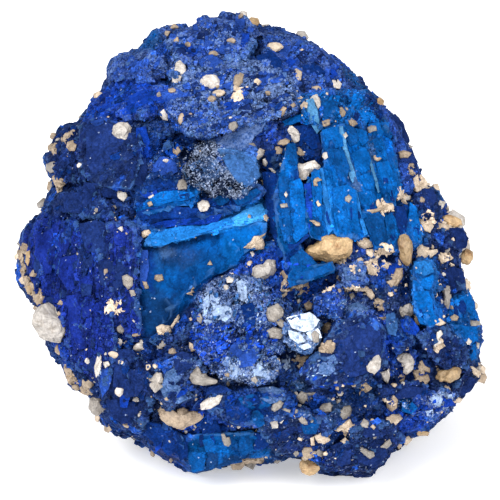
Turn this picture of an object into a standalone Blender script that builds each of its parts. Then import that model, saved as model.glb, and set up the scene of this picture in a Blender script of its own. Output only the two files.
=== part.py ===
"""Azurite specimen: a lump of massive azurite with blocky cleavage faces, grown round coarse sand and
small pebbles of quartz and feldspar. It stands on a flat broken base, with its show face turned up.

The show face is laid out on a drawing: x runs right and y runs down, in drawing units, and depth runs
out of the face towards the eye, also in drawing units. place() turns such a point into metres.
"""

import math
import random

import bmesh
import bpy
import numpy as np
from mathutils import Matrix, Vector, noise
from mathutils.bvhtree import BVHTree

# Driving sizes, in metres.
WIDTH = 0.030  # across the show face
EYE_DISTANCE = 0.25  # the drawing is in perspective, seen from this far away
FRONT_BULGE = 0.0104  # from the widest section out to the middle of the show face
BACK_BULGE = 0.0125  # from the widest section to the back
CENTRE_HEIGHT = 0.0126  # of the drawing's middle above the surface that the stone rests on
SOCKET_GAP = 0.0002  # between a pebble and the azurite round it
VOXEL = 0.00030  # the grid that the crystals are grown together on
FACES_WANTED = 5100  # triangles of the azurite, before the sockets are cut

# The drawing's own frame.
DRAWN_WIDTH = 466.0  # WIDTH in drawing units
UNIT = WIDTH / DRAWN_WIDTH
MIDDLE = (250.0, 247.0)
SHOW_TILT = math.radians(22.0)  # the show face looks up by this much
RIGHT = Vector((1.0, 0.0, 0.0))
UP = Vector((0.0, math.sin(SHOW_TILT), math.cos(SHOW_TILT)))
TOWARDS = Vector((0.0, -math.cos(SHOW_TILT), math.sin(SHOW_TILT)))
CENTRE = Vector((0.0, 0.0, CENTRE_HEIGHT))

# The rounded form. Lengths from here on are in drawing units, unless they say otherwise.
LEAN = 0.20  # how far the widest section falls back, per unit of height
ROUNDNESS = {"front": 2.25, "back": 2.7}  # exponents: 2 is an ellipsoid, more is squarer
NEAR_RIM = 0.985  # the front's depth is read no nearer to the rim than this share
RIM_SHARPNESS = 0.28  # how far round from the widest section the drawn outline's notches run
CORE_SINK = 11.0  # the core lies this far under the show face
CORE_DETAIL = 5
FORM_DETAIL = 4
SMOOTHING_ARC = math.radians(34.0)  # the smooth outline is averaged over this
ANGLE_STEPS = 1440

# How everything is drawn in to the outline.
RIM_BAND = 4.0  # the rim is drawn in over this width
RIM_DEPTH = 40.0  # the outline's notches run this far back and forward from the widest section
SOFT_SHARE = 0.975  # beyond that the stone keeps to this share of its smooth outline
NOTCH_FILL = 5.0  # and to this much more than the drawn outline

# The crystals' make.
CRYSTAL_THICKNESS = 52.0
RELIEF = 1.9  # how strongly the lifts of the crystals count
STEEPEST = 1.1  # no front face is steeper than this against the drawing, before it is turned
LONG_EDGE = 15.0  # an edge longer than this is broken
BROKEN_BY = 3.0  # by at most this much to the side
BLOCK_SEED = 41
BACK_BLOCKS = 300  # places tried for large rough crystals; those on the show face are left out
BACK_SIZE = (24.0, 52.0)
BACK_LIFT = (-14.0, 13.0)
SIDE_SINK = 14.0  # blocks on the sides stand lower by up to this much
SHOW_FACING = 0.15  # a surface that faces the eye more than this belongs to the show face
CRUMBS = 300  # small ones everywhere
CRUMB_SIZE = (8.0, 17.0)
CRUMB_LIFT = (-13.0, -2.0)
CRUMB_ROOT = 8.0
BLOCK_TILT = 0.20
CHIP_CELL = 0.0026  # metres, as is CHIP_STEP
CHIP_SLOPE = 0.16
CHIP_STEP = 0.00022
WHOLE_FACE_CHIPS = 0.25  # the share of the chips on a whole face

# The pebbles' make.
FLATS = 11  # a worn grain has this many
WORN_TO = (0.66, 0.92)  # how far out a flat lies, in radii
UNEVEN = 0.22  # how much the radius drifts from side to side
PEBBLE_FLATNESS = 0.9  # half depth over the smaller of half width and half height
FINE_PEBBLE = 200.0  # half width times half height from which a pebble has the finer mesh
EYE_SIDE = 300.0  # a depth well clear of the stone
ROUND_A_PEBBLE = ((0, 0), (-0.8, 0), (0.8, 0), (0, -0.8), (0, 0.8), (-0.5, -0.5), (0.5, 0.5))

OUTLINE = (
    (250, 24), (243, 14), (220, 12), (198, 15), (187, 24), (162, 25), (151, 29), (148, 38), (140, 51),
    (122, 50), (110, 58), (107, 66), (108, 76), (104, 93), (96, 97), (87, 103), (85, 117), (78, 120),
    (64, 122), (56, 128), (51, 139), (48, 149), (41, 160), (48, 170), (53, 185), (46, 199), (45, 213),
    (30, 220), (21, 233), (17, 248), (15, 271), (20, 288), (29, 300), (38, 308), (42, 326), (47, 343),
    (50, 353), (60, 364), (64, 377), (71, 390), (90, 398), (98, 416), (105, 430), (119, 437),
    (140, 442), (150, 454), (172, 464), (187, 475), (196, 477), (215, 471), (250, 464), (293, 459),
    (312, 462), (322, 474), (354, 480), (371, 480), (388, 468), (391, 456), (409, 437), (429, 436),
    (437, 428), (459, 408), (468, 400), (476, 386), (484, 379), (479, 360), (481, 339), (481, 322),
    (476, 309), (468, 285), (462, 266), (463, 252), (470, 239), (464, 226), (448, 214), (445, 204),
    (438, 193), (425, 183), (422, 167), (414, 152), (405, 136), (403, 121), (387, 110), (378, 96),
    (368, 88), (352, 70), (339, 57), (322, 46), (306, 34), (288, 28), (263, 29),
)

# The crystals of the show face: name, lift of the front face over the stone's rounded form, how much
# that face rises to the right and upwards, how far the sides flare going in, and its corners.
CRYSTALS = (
    ("crown", 8, 0.00, -0.30, 1.15,
     ((160, 28), (187, 25), (198, 16), (220, 13), (243, 15), (262, 31), (238, 60), (204, 66), (178, 66))),
    ("left_shoulder", 8, 0.10, -0.20, 1.15,
     ((109, 66), (122, 51), (140, 52), (163, 58), (176, 75), (150, 82), (122, 80), (109, 78))),
    ("left_ledge", 4, 0.00, -0.35, 1.10,
     ((88, 102), (104, 92), (122, 79), (150, 80), (176, 92), (165, 112), (130, 120), (88, 120))),
    ("smooth_navy_face", 10, -0.05, 0.05, 1.10,
     ((80, 124), (106, 118), (140, 134), (142, 160), (131, 190), (96, 186), (80, 166))),
    ("left_knob", 4, 0.15, -0.10, 1.20,
     ((50, 140), (62, 124), (80, 122), (81, 150), (86, 182), (60, 184), (45, 160))),
    ("upper_plateau", 6, 0.00, -0.15, 1.15,
     ((168, 110), (184, 74), (212, 66), (262, 62), (292, 80), (296, 112), (256, 122), (222, 136),
      (190, 134))),
    ("right_plateau", 3, -0.10, -0.10, 1.15,
     ((262, 33), (290, 30), (322, 48), (340, 62), (340, 92), (300, 96), (262, 64))),
    ("silvery_knob", 13, 0.05, 0.20, 0.85,
     ((182, 168), (194, 146), (214, 141), (224, 150), (234, 172), (246, 190), (238, 198), (212, 194),
      (188, 186))),
    ("knob_plate", 14, -0.10, 0.10, 0.90,
     ((216, 148), (240, 151), (256, 158), (260, 175), (249, 187), (240, 184), (228, 168))),
    ("middle_strata", 6, 0.00, 0.30, 0.90,
     ((132, 190), (150, 172), (186, 182), (192, 196), (160, 202), (134, 208))),
    ("upper_sliver", 5, 0.00, -0.30, 1.05,
     ((138, 214), (146, 200), (190, 186), (200, 192), (194, 204), (156, 213))),
    ("lower_strata", 1, 0.00, 0.20, 0.95,
     ((134, 222), (160, 212), (200, 200), (240, 198), (262, 186), (262, 196), (200, 222), (160, 232))),
    ("bright_shelf", -3, 0.05, -0.60, 1.05,
     ((144, 246), (150, 233), (182, 228), (215, 224), (231, 215), (248, 204), (268, 200), (268, 221),
      (240, 227), (190, 238), (160, 247))),
    ("great_face", -7, 0.10, 0.12, 1.05,
     ((140, 249), (160, 248), (190, 239), (238, 228), (268, 222), (266, 236), (244, 254), (236, 266),
      (212, 276), (194, 294), (180, 316), (166, 330), (145, 336), (137, 302))),
    ("left_wall", 5, -0.10, 0.10, 1.10,
     ((106, 222), (134, 226), (137, 250), (136, 300), (142, 334), (124, 338), (112, 300), (108, 262))),
    ("violet_bulge", 7, 0.10, -0.05, 1.10,
     ((22, 236), (44, 216), (76, 222), (100, 250), (108, 300), (116, 350), (104, 384), (72, 362),
      (64, 322), (34, 300))),
    ("left_facet", 6, 0.05, -0.20, 1.10,
     ((58, 192), (88, 186), (106, 204), (116, 218), (84, 216), (50, 212))),
    ("upper_right_lumps", 5, -0.10, -0.10, 1.15,
     ((300, 96), (340, 92), (370, 92), (386, 112), (384, 126), (350, 124), (322, 128), (304, 120))),
    ("dark_wedge", 2, 0.10, 0.10, 1.00,
     ((292, 128), (308, 121), (326, 146), (322, 166), (302, 160))),
    ("rib_one", 9, -0.25, 0.05, 0.95,
     ((286, 150), (288, 142), (296, 146), (298, 184), (307, 187), (309, 232), (296, 244), (284, 254),
      (277, 240), (273, 196))),
    ("rib_two", 10, -0.30, 0.05, 0.95,
     ((305, 184), (321, 168), (327, 198), (333, 234), (322, 242), (310, 238), (306, 206))),
    ("rib_three", 8, -0.25, 0.00, 1.00,
     ((320, 132), (342, 124), (352, 164), (360, 200), (369, 236), (346, 240), (334, 234), (327, 196))),
    ("rib_four", 7, -0.20, 0.00, 1.00,
     ((343, 124), (366, 136), (376, 170), (385, 206), (372, 214), (362, 204), (353, 166))),
    ("rib_five", 6, -0.20, 0.00, 1.00,
     ((367, 136), (386, 124), (396, 160), (403, 192), (396, 207), (386, 206), (377, 170))),
    ("rib_foot_left", 5, -0.15, 0.05, 1.05,
     ((362, 212), (385, 209), (390, 250), (374, 252))),
    ("rib_foot_right", 4, -0.15, 0.05, 1.05,
     ((386, 209), (398, 207), (406, 246), (391, 250))),
    ("violet_blade", 3, -0.10, 0.00, 1.00,
     ((397, 206), (408, 206), (411, 240), (403, 242))),
    ("outer_blade", 3, -0.20, 0.00, 1.05,
     ((408, 204), (420, 212), (422, 240), (414, 248), (404, 236))),
    ("right_rim_upper", 2, -0.05, -0.05, 1.20,
     ((378, 98), (400, 120), (405, 138), (414, 154), (396, 158), (386, 128))),
    ("right_rim_middle", 2, -0.10, 0.00, 1.15,
     ((398, 160), (414, 154), (424, 182), (408, 192), (402, 188))),
    ("right_knob", 8, -0.10, 0.00, 1.10,
     ((414, 196), (424, 186), (438, 194), (440, 214), (426, 220), (416, 210))),
    ("far_right_knob", 5, -0.05, 0.00, 1.15,
     ((436, 236), (456, 222), (470, 240), (462, 250), (444, 250))),
    ("blue_flake", 13, 0.05, -0.25, 0.90,
     ((289, 272), (298, 263), (318, 266), (333, 261), (336, 270), (312, 280), (290, 287))),
    ("flake_step", 9, 0.00, -0.10, 1.00,
     ((284, 256), (300, 244), (312, 258), (306, 270), (290, 272))),
    ("rust_block", 8, 0.00, -0.15, 1.10,
     ((338, 266), (362, 262), (371, 280), (346, 286))),
    ("right_column", 12, -0.05, 0.00, 1.05,
     ((413, 266), (420, 260), (431, 260), (436, 268), (434, 298), (444, 318), (428, 328), (414, 312))),
    ("right_slabs", 5, -0.15, 0.00, 1.10,
     ((447, 302), (470, 288), (478, 310), (480, 340), (478, 360), (464, 350), (450, 326))),
    ("far_right_lump", 4, -0.10, 0.00, 1.15,
     ((438, 272), (464, 266), (468, 286), (452, 292), (440, 288))),
    ("druse_crest", 13, -0.10, -0.25, 0.90,
     ((197, 300), (208, 286), (232, 276), (262, 281), (284, 298), (268, 316), (238, 322), (208, 320))),
    ("druse_left", 12, 0.20, 0.05, 0.95,
     ((194, 312), (212, 306), (240, 318), (236, 352), (212, 372), (196, 350))),
    ("druse_right", 15, -0.15, 0.00, 0.95,
     ((240, 318), (268, 312), (286, 302), (293, 330), (282, 350), (256, 356), (238, 346))),
    ("druse_tuft_left", 15, 0.05, 0.30, 0.90,
     ((214, 366), (226, 358), (246, 366), (248, 382), (220, 378))),
    ("druse_tuft_right", 16, -0.05, 0.25, 0.90,
     ((244, 366), (262, 356), (280, 362), (272, 378), (250, 383))),
    ("sparkling_crystal", 19, -0.05, -0.05, 1.00,
     ((284, 322), (304, 312), (320, 324), (318, 344), (300, 350), (286, 340))),
    ("granular_block", 14, 0.00, -0.05, 1.05,
     ((314, 296), (340, 284), (346, 310), (338, 320), (316, 316))),
    ("navy_lump", 17, -0.05, 0.05, 1.10,
     ((334, 326), (362, 312), (384, 328), (386, 362), (356, 384), (316, 386), (298, 374), (320, 350))),
    ("right_lump", 12, -0.10, 0.00, 1.10,
     ((418, 336), (446, 326), (464, 344), (470, 364), (444, 372), (428, 354))),
    ("corner_shelf", 8, -0.10, 0.05, 1.05,
     ((454, 386), (468, 368), (484, 379), (474, 392), (458, 402))),
    ("small_right_blocks", 9, 0.00, -0.10, 1.10,
     ((388, 322), (408, 318), (414, 344), (398, 352), (388, 340))),
    ("dark_seam_block", 6, 0.00, 0.25, 1.00,
     ((376, 384), (420, 380), (436, 392), (410, 404), (380, 398))),
    ("banded_crystal", 10, 0.00, -0.15, 1.00,
     ((402, 404), (430, 392), (456, 394), (458, 404), (432, 420), (410, 414))),
    ("foot_centre", 10, 0.00, 0.10, 1.00,
     ((326, 452), (350, 440), (382, 450), (390, 460), (374, 478), (350, 479), (330, 470))),
    ("foot_right", 9, -0.05, 0.10, 1.00,
     ((352, 430), (388, 422), (404, 440), (388, 452), (360, 446))),
    ("under_ledge", 7, 0.00, 0.15, 1.00,
     ((262, 428), (292, 410), (330, 420), (320, 452), (276, 456))),
    ("bright_foot", 2, 0.05, 0.10, 1.05,
     ((186, 440), (200, 434), (250, 432), (272, 438), (270, 458), (232, 467), (197, 476), (188, 470))),
    ("dark_foot", 3, 0.20, 0.10, 1.05,
     ((150, 432), (164, 424), (184, 438), (184, 472), (154, 454))),
    ("lower_left_lump", 11, 0.05, 0.00, 1.10,
     ((106, 376), (130, 356), (150, 366), (152, 400), (140, 430), (112, 426), (100, 404))),
    ("dusty_slope", 12, 0.05, -0.10, 1.10,
     ((152, 366), (176, 354), (206, 370), (196, 396), (168, 408), (154, 396))),
    ("lower_step", 12, 0.00, -0.10, 1.00,
     ((206, 396), (250, 388), (296, 396), (290, 414), (236, 424), (208, 412))),
)

# The crystals whose faces are whole, with nothing small grown on them.
WHOLE_FACES = (
    "great_face", "bright_shelf", "smooth_navy_face", "bright_foot", "right_column", "blue_flake",
    "rib_one", "rib_two", "rib_three", "rib_four", "rib_five", "navy_lump", "upper_sliver", "knob_plate",
)

WHOLE = [corners for name, *_rest, corners in CRYSTALS if name in WHOLE_FACES]

# Hollows between the crystals: middle, half width and half height on the drawing, turn in degrees,
# and depth in drawing units.
HOLLOWS = (
    ((267, 190), 9, 44, 4, 26),
    ((213, 283), 30, 5, 38, 18),
    ((178, 322), 22, 6, 52, 16),
    ((226, 431), 44, 6, 2, 20),
    ((322, 292), 26, 7, 10, 14),
    ((300, 302), 16, 6, -30, 14),
    ((112, 114), 26, 4, 12, 12),
    ((246, 390), 34, 5, 4, 14),
    ((388, 262), 9, 18, 0, 14),
    ((422, 334), 16, 6, -20, 12),
    ((305, 408), 34, 6, 6, 12),
    ((172, 142), 12, 7, 20, 16),
)

# The pebbles held in the azurite, largest first: name, middle, half width and half height on the
# drawing, turn in degrees, how far the middle stands out in half depths, how much it narrows to the
# left, how far its ends bend up in half heights, and the finish.
PEBBLES = (
    ("white_pebble_left", (49, 323), 19, 20, 0, 0.30, 0.05, 0.00, "white_quartz"),
    ("honey_pebble_centre", (330, 247), 25, 15, 12, 0.75, 0.26, -0.10, "honey_feldspar"),
    ("tan_pebble_lower", (180, 417), 23, 10, -4, 0.45, -0.15, 0.50, "tan_feldspar"),
    ("tan_pebble_right", (404, 244), 9, 15, 8, 0.40, 0.00, 0.10, "tan_feldspar"),
    ("white_pebble_top", (210, 84), 12, 9, 4, 0.35, 0.00, 0.00, "white_quartz"),
    ("white_pebble_upper_left", (121, 131), 10, 9, 0, 0.45, 0.00, 0.00, "white_quartz"),
    ("white_pebble_middle", (264, 270), 13, 10, 28, 0.40, 0.15, 0.00, "white_quartz"),
    ("white_pebble_ribs", (303, 172), 15, 9, 8, 0.35, -0.15, -0.30, "white_quartz"),
    ("white_pebble_long", (293, 134), 5, 10, 28, 0.40, 0.10, 0.00, "white_quartz"),
    ("tan_pebble_bottom", (309, 466), 9, 9, 0, 0.20, 0.15, 0.00, "tan_feldspar"),
    ("tan_pebble_lower_right", (448, 375), 13, 8, 8, 0.35, 0.10, -0.35, "tan_feldspar"),
    ("white_pebble_lower_right", (375, 363), 8, 10, -25, 0.35, 0.20, 0.10, "white_quartz"),
    ("white_pebble_hooked", (405, 361), 9, 9, 0, 0.35, 0.20, -0.45, "white_quartz"),
    ("tan_pebble_rim", (466, 257), 8, 9, 0, 0.20, 0.00, 0.00, "tan_feldspar"),
    ("grey_pebble_lower", (201, 377), 13, 9, -15, 0.30, 0.30, 0.25, "grey_quartz"),
    ("grey_pebble_diamond", (157, 382), 8, 10, -25, 0.35, 0.00, 0.00, "grey_quartz"),
    ("grey_pebble_corner", (97, 406), 8, 9, 0, 0.25, 0.00, 0.00, "grey_quartz"),
    ("grey_pebble_slot", (447, 297), 5, 13, -8, 0.35, 0.00, 0.00, "grey_quartz"),
    ("grey_pebble_right", (406, 310), 9, 8, 10, 0.35, 0.15, 0.10, "grey_quartz"),
    ("grey_pebble_round", (274, 313), 8, 8, 0, 0.40, 0.00, 0.00, "grey_quartz"),
    ("tan_pebble_east", (452, 221), 11, 5, -14, 0.30, 0.00, 0.00, "tan_feldspar"),
)

# Base colours, roughness.
FINISHES = {
    "azurite": ((0.020, 0.075, 0.330), 0.55),
    "white_quartz": ((0.800, 0.770, 0.700), 0.60),
    "grey_quartz": ((0.480, 0.450, 0.400), 0.55),
    "tan_feldspar": ((0.560, 0.430, 0.270), 0.65),
    "honey_feldspar": ((0.680, 0.470, 0.240), 0.65),
}


def place(x, y, depth):
    """The point in space of a point of the drawing."""
    reach = UNIT * (1.0 - depth * UNIT / EYE_DISTANCE)
    across = (x - MIDDLE[0]) * reach
    up = (MIDDLE[1] - y) * reach
    return CENTRE + RIGHT * across + UP * up + TOWARDS * (depth * UNIT)


def drawn(point):
    """Where the eye sees this point on the drawing, and its depth: place() undone."""
    offset = point - CENTRE
    depth = offset.dot(TOWARDS) / UNIT
    reach = UNIT * (1.0 - depth * UNIT / EYE_DISTANCE)
    return MIDDLE[0] + offset.dot(RIGHT) / reach, MIDDLE[1] - offset.dot(UP) / reach, depth


def polar_outline():
    """The outline about the middle at even angles: how far it reaches as drawn, and averaged over an arc."""
    corners = (np.array(OUTLINE, float) - MIDDLE) * (1.0, -1.0)
    angles = np.arctan2(corners[:, 1], corners[:, 0])
    even = np.linspace(-math.pi, math.pi, ANGLE_STEPS, endpoint=False)
    sharp = np.interp(even, angles, np.hypot(*corners.T), period=math.tau)
    half_arc = round(SMOOTHING_ARC / 2 / math.tau * ANGLE_STEPS)
    offsets = np.arange(-half_arc, half_arc + 1)
    weights = np.cos(offsets / (half_arc + 1) * math.pi / 2)
    smooth = sum(np.roll(sharp, -offset) * weight for offset, weight in zip(offsets, weights))
    return sharp.tolist(), (smooth / weights.sum()).tolist()


SHARP, SMOOTH = polar_outline()


def reach_at(angle, reaches):
    """How far the outline is from the middle at this angle."""
    turn = (angle + math.pi) / math.tau * ANGLE_STEPS
    below = math.floor(turn)
    share = turn - below
    return reaches[below % ANGLE_STEPS] * (1.0 - share) + reaches[(below + 1) % ANGLE_STEPS] * share


def rounded_depth(x, y):
    """How far the stone's rounded form stands out at a point of the drawing."""
    across, up = x - MIDDLE[0], MIDDLE[1] - y
    share = min(math.hypot(across, up) / reach_at(math.atan2(up, across), SMOOTH), NEAR_RIM)
    power = ROUNDNESS["front"]
    bulge = FRONT_BULGE / UNIT * (1.0 - share**power) ** (1.0 / power)
    return bulge - LEAN * up


def body_point(direction, sink=0.0):
    """The point of the stone's rounded form that lies this way from its centre; sink lowers its front."""
    across, up, out = direction
    side = "front" if out > 0 else "back"
    power = ROUNDNESS[side]
    bulge = (FRONT_BULGE / UNIT - sink) if out > 0 else BACK_BULGE / UNIT
    angle = math.atan2(up, across)
    smooth = reach_at(angle, SMOOTH)
    rim = math.exp(-((out / RIM_SHARPNESS) ** 2))
    reach = smooth + (reach_at(angle, SHARP) - smooth) * rim
    flat = math.hypot(across, up)
    size = ((flat / reach) ** power + (abs(out) / bulge) ** power) ** (-1.0 / power)
    x, y = MIDDLE[0] + across * size, MIDDLE[1] - up * size
    return place(x, y, out * size - LEAN * up * size)


def hollow_depth(x, y):
    """How deep the hollows are at a point of the drawing."""
    deep = 0.0
    for (middle_x, middle_y), half_width, half_height, turn, depth in HOLLOWS:
        across, up = x - middle_x, middle_y - y
        cos, sin = math.cos(math.radians(turn)), math.sin(math.radians(turn))
        along, aside = across * cos + up * sin, up * cos - across * sin
        deep += depth * math.exp(-((along / half_width) ** 2) - (aside / half_height) ** 2)
    return deep


def body_mesh(subdivisions, sink):
    """The stone's rounded form as a closed mesh; with a sink, its front is also hollowed."""
    bm = bmesh.new()
    bmesh.ops.create_icosphere(bm, subdivisions=subdivisions, radius=1.0)
    for vert in bm.verts:
        hollowed = sink and vert.co.z > 0.0
        vert.co = body_point(vert.co, sink)
        if hollowed:
            x, y, depth = drawn(vert.co)
            vert.co = place(x, y, depth - hollow_depth(x, y))
    bmesh.ops.recalc_face_normals(bm, faces=bm.faces)
    return bm


def add_prism(bm, front, back):
    """A closed prism between two rings of the same number of points."""
    near = [bm.verts.new(p) for p in front]
    far = [bm.verts.new(p) for p in back]
    count = len(near)
    faces = [bm.faces.new(near), bm.faces.new(list(reversed(far)))]
    for i in range(count):
        j = (i + 1) % count
        faces.append(bm.faces.new((near[j], near[i], far[i], far[j])))
    bmesh.ops.recalc_face_normals(bm, faces=faces)


def broken_edge(corners, dice):
    """The corners with a point thrown in along each long edge, a little to one side of it."""
    made = []
    for (x0, y0), (x1, y1) in zip(corners, corners[1:] + corners[:1]):
        made.append((x0, y0))
        across, down = x1 - x0, y1 - y0
        length = math.hypot(across, down)
        if length > LONG_EDGE:
            along = dice.uniform(0.3, 0.7)
            aside = dice.uniform(-BROKEN_BY, BROKEN_BY) / length
            made.append((x0 + across * along - down * aside, y0 + down * along + across * aside))
    return made


def crystal_plane(corners, turn_right, turn_up):
    """The plane along the rounded form under these corners, turned: its level, rise right and rise up."""
    points = np.array(corners, float)
    rel = (points - points.mean(axis=0)) * (1.0, -1.0)
    depths = np.array([rounded_depth(x, y) for x, y in corners])
    level, right, up = np.linalg.lstsq(np.column_stack((np.ones(len(rel)), rel)), depths, rcond=None)[0]
    right = float(np.clip(right, -STEEPEST, STEEPEST)) + turn_right
    up = float(np.clip(up, -STEEPEST, STEEPEST)) + turn_up
    return level, right, up


def add_crystal(bm, name, lift, turn_right, turn_up, flare, corners):
    """One crystal of the show face: a prism whose front follows the rounded form, lifted and turned."""
    level, right, up = crystal_plane(corners, turn_right, turn_up)
    middle = np.mean(corners, axis=0)
    front, back = [], []
    for x, y in broken_edge(corners, random.Random(name)):
        height = level + lift * RELIEF + (x - middle[0]) * right + (middle[1] - y) * up
        front.append(place(x, y, height))
        inner = middle + (np.array((x, y)) - middle) * flare
        back.append(place(inner[0], inner[1], height - CRYSTAL_THICKNESS))
    add_prism(bm, front, back)


def add_block(bm, dice, where, normal, size, lift, root):
    """A rough crystal anywhere on the stone: an uneven prism set along a tilted normal, in metres."""
    tilt = Vector((dice.uniform(-1, 1), dice.uniform(-1, 1), dice.uniform(-1, 1)))
    axis = (normal + tilt * BLOCK_TILT).normalized()
    turn = axis.to_track_quat("Z", "Y").to_matrix() @ Matrix.Rotation(dice.uniform(0, math.tau), 3, "Z")
    count = dice.choice((5, 6, 7))
    stretch = dice.uniform(1.0, 1.7)
    near, far = [], []
    for i in range(count):
        angle = (i + dice.uniform(-0.25, 0.25)) / count * math.tau
        reach = size * dice.uniform(0.8, 1.1)
        flat = Vector((math.cos(angle) * reach * stretch, math.sin(angle) * reach, 0.0))
        near.append(where + turn @ (flat * 0.85) + axis * lift)
        far.append(where + turn @ flat - axis * root)
    add_prism(bm, near, far)


def inside(corners, x, y):
    """Whether a point of the drawing lies inside this ring of corners."""
    crossings = 0
    for (x0, y0), (x1, y1) in zip(corners, corners[1:] + corners[:1]):
        if (y0 > y) != (y1 > y) and x < x0 + (y - y0) * (x1 - x0) / (y1 - y0):
            crossings += 1
    return crossings % 2 == 1


def on_whole_face(point):
    """Whether the eye sees this point on a crystal whose face is whole."""
    x, y, _depth = drawn(point)
    return any(inside(corners, x, y) for corners in WHOLE)


def add_rough_blocks(bm):
    """The unnamed crystals: large ones round the sides and back, small ones in every gap."""
    dice = random.Random(BLOCK_SEED)
    form = body_mesh(FORM_DETAIL, 0.0)
    weights = [face.calc_area() for face in form.faces]
    places = [(face.calc_center_median(), face.normal.copy()) for face in form.faces]
    form.free()
    for where, normal in dice.choices(places, weights, k=BACK_BLOCKS):
        facing = normal.dot(TOWARDS)
        size = dice.uniform(*BACK_SIZE) * UNIT
        lift = dice.uniform(*BACK_LIFT) * UNIT
        if facing < SHOW_FACING:
            side = SIDE_SINK * UNIT * max(0.0, 1.0 + facing * 2.0)
            add_block(bm, dice, where, normal, size, lift - side, size)
    for where, normal in dice.choices(places, weights, k=CRUMBS):
        size = dice.uniform(*CRUMB_SIZE) * UNIT
        lift = dice.uniform(*CRUMB_LIFT) * UNIT
        if normal.dot(TOWARDS) < SHOW_FACING or not on_whole_face(where):
            add_block(bm, dice, where, normal, size, lift, size + CRUMB_ROOT * UNIT)


def chip(point):
    """How far the surface stands out here, in metres: flat chips, each tilted its own way."""
    cell = noise.voronoi(point / CHIP_CELL)[1][0]
    tilt = Vector(noise.noise(cell * 7.3 + Vector((shift, 0.0, 0.0))) for shift in (0.0, 31.7, 63.1))
    slope = (point / CHIP_CELL - cell).dot(tilt) * CHIP_SLOPE * CHIP_CELL
    return slope + noise.noise(cell * 3.1) * CHIP_STEP


def drawn_in(point):
    """The point itself, or the nearest one inside the outline as the eye sees it."""
    x, y, depth = drawn(point)
    across, up = x - MIDDLE[0], MIDDLE[1] - y
    out = math.hypot(across, up)
    angle = math.atan2(up, across)
    rim = math.exp(-(((depth + LEAN * up) / RIM_DEPTH) ** 2))
    sharp = reach_at(angle, SHARP)
    soft = min(reach_at(angle, SMOOTH) * SOFT_SHARE, sharp + NOTCH_FILL)
    limit = sharp * rim + soft * (1.0 - rim) - RIM_BAND
    if out <= limit:
        return point
    share = (limit + RIM_BAND * (1.0 - math.exp((limit - out) / RIM_BAND))) / out
    return place(MIDDLE[0] + across * share, MIDDLE[1] - up * share, depth)


def material(finish):
    """The plain material of one finish, made once."""
    found = bpy.data.materials.get(finish)
    if found:
        return found
    colour, roughness = FINISHES[finish]
    made = bpy.data.materials.new(finish)
    made.use_nodes = True
    shader = made.node_tree.nodes["Principled BSDF"]
    shader.inputs["Base Color"].default_value = (*colour, 1.0)
    shader.inputs["Roughness"].default_value = roughness
    shader.inputs["Metallic"].default_value = 0.0
    made.diffuse_color = (*colour, 1.0)
    return made


def new_object(name, bm, finish):
    """The bmesh as an object of the scene, with the material of its finish if it has one."""
    mesh = bpy.data.meshes.new(name)
    bm.to_mesh(mesh)
    bm.free()
    obj = bpy.data.objects.new(name, mesh)
    bpy.context.scene.collection.objects.link(obj)
    if finish:
        obj.data.materials.append(material(finish))
    return obj


def settle(obj):
    """Turns the object's modifiers into plain geometry."""
    graph = bpy.context.evaluated_depsgraph_get()
    mesh = bpy.data.meshes.new_from_object(obj.evaluated_get(graph))
    obj.modifiers.clear()
    old = obj.data
    obj.data = mesh
    bpy.data.meshes.remove(old)


def cut(obj, cutter, label):
    """Takes the cutter's shape out of the object."""
    cutter.hide_render = True
    cutter.display_type = "WIRE"
    modifier = obj.modifiers.new(label, "BOOLEAN")
    modifier.operation = "DIFFERENCE"
    modifier.solver = "EXACT"
    modifier.object = cutter


def make_azurite():
    """The azurite: core, crystals and crumbs grown into one mass and chipped."""
    bm = body_mesh(CORE_DETAIL, CORE_SINK)
    for crystal in CRYSTALS:
        add_crystal(bm, *crystal)
    add_rough_blocks(bm)
    mass = new_object("azurite_mass", bm, "azurite")
    grown = mass.modifiers.new("grown_together", "REMESH")
    grown.mode = "VOXEL"
    grown.voxel_size = VOXEL
    settle(mass)
    for vert, normal in zip(mass.data.vertices, [v.normal.copy() for v in mass.data.vertices]):
        whole = normal.dot(TOWARDS) > SHOW_FACING and on_whole_face(vert.co)
        out = chip(vert.co) * (WHOLE_FACE_CHIPS if whole else 1.0)
        vert.co = drawn_in(vert.co + normal * out)
    mass.data.update()
    fewer = mass.modifiers.new("fewer_faces", "DECIMATE")
    fewer.ratio = FACES_WANTED / (2 * len(mass.data.polygons))
    fewer.use_collapse_triangulate = True
    settle(mass)
    return mass


def worn_planes(dice):
    """Random flats that a grain was worn to: a direction and how far out each flat lies."""
    flats = []
    for _ in range(FLATS):
        way = Vector((dice.gauss(0, 1), dice.gauss(0, 1), dice.gauss(0, 1))).normalized()
        flats.append((way, dice.uniform(*WORN_TO)))
    return flats


def worn_sphere(name, taper, bend, detail):
    """A sphere worn to flats, narrowed and bent, that just fills the box from -1 to 1."""
    dice = random.Random(name)
    flats = worn_planes(dice)
    drift = Vector((dice.uniform(0, 50), 0.0, 0.0))
    bm = bmesh.new()
    bmesh.ops.create_icosphere(bm, subdivisions=detail, radius=1.0)
    for vert in bm.verts:
        way = vert.co.normalized()
        reach = min([1.0] + [far / max(way.dot(flat), 1e-6) for flat, far in flats])
        x, y, z = way * reach * (1.0 + UNEVEN * noise.noise(way * 1.4 + drift))
        vert.co = Vector((x, y * (1.0 + taper * x) + bend * x * x, z))
    for axis in range(3):
        low = min(vert.co[axis] for vert in bm.verts)
        high = max(vert.co[axis] for vert in bm.verts)
        for vert in bm.verts:
            vert.co[axis] = (vert.co[axis] - low) / (high - low) * 2.0 - 1.0
    return bm


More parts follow.
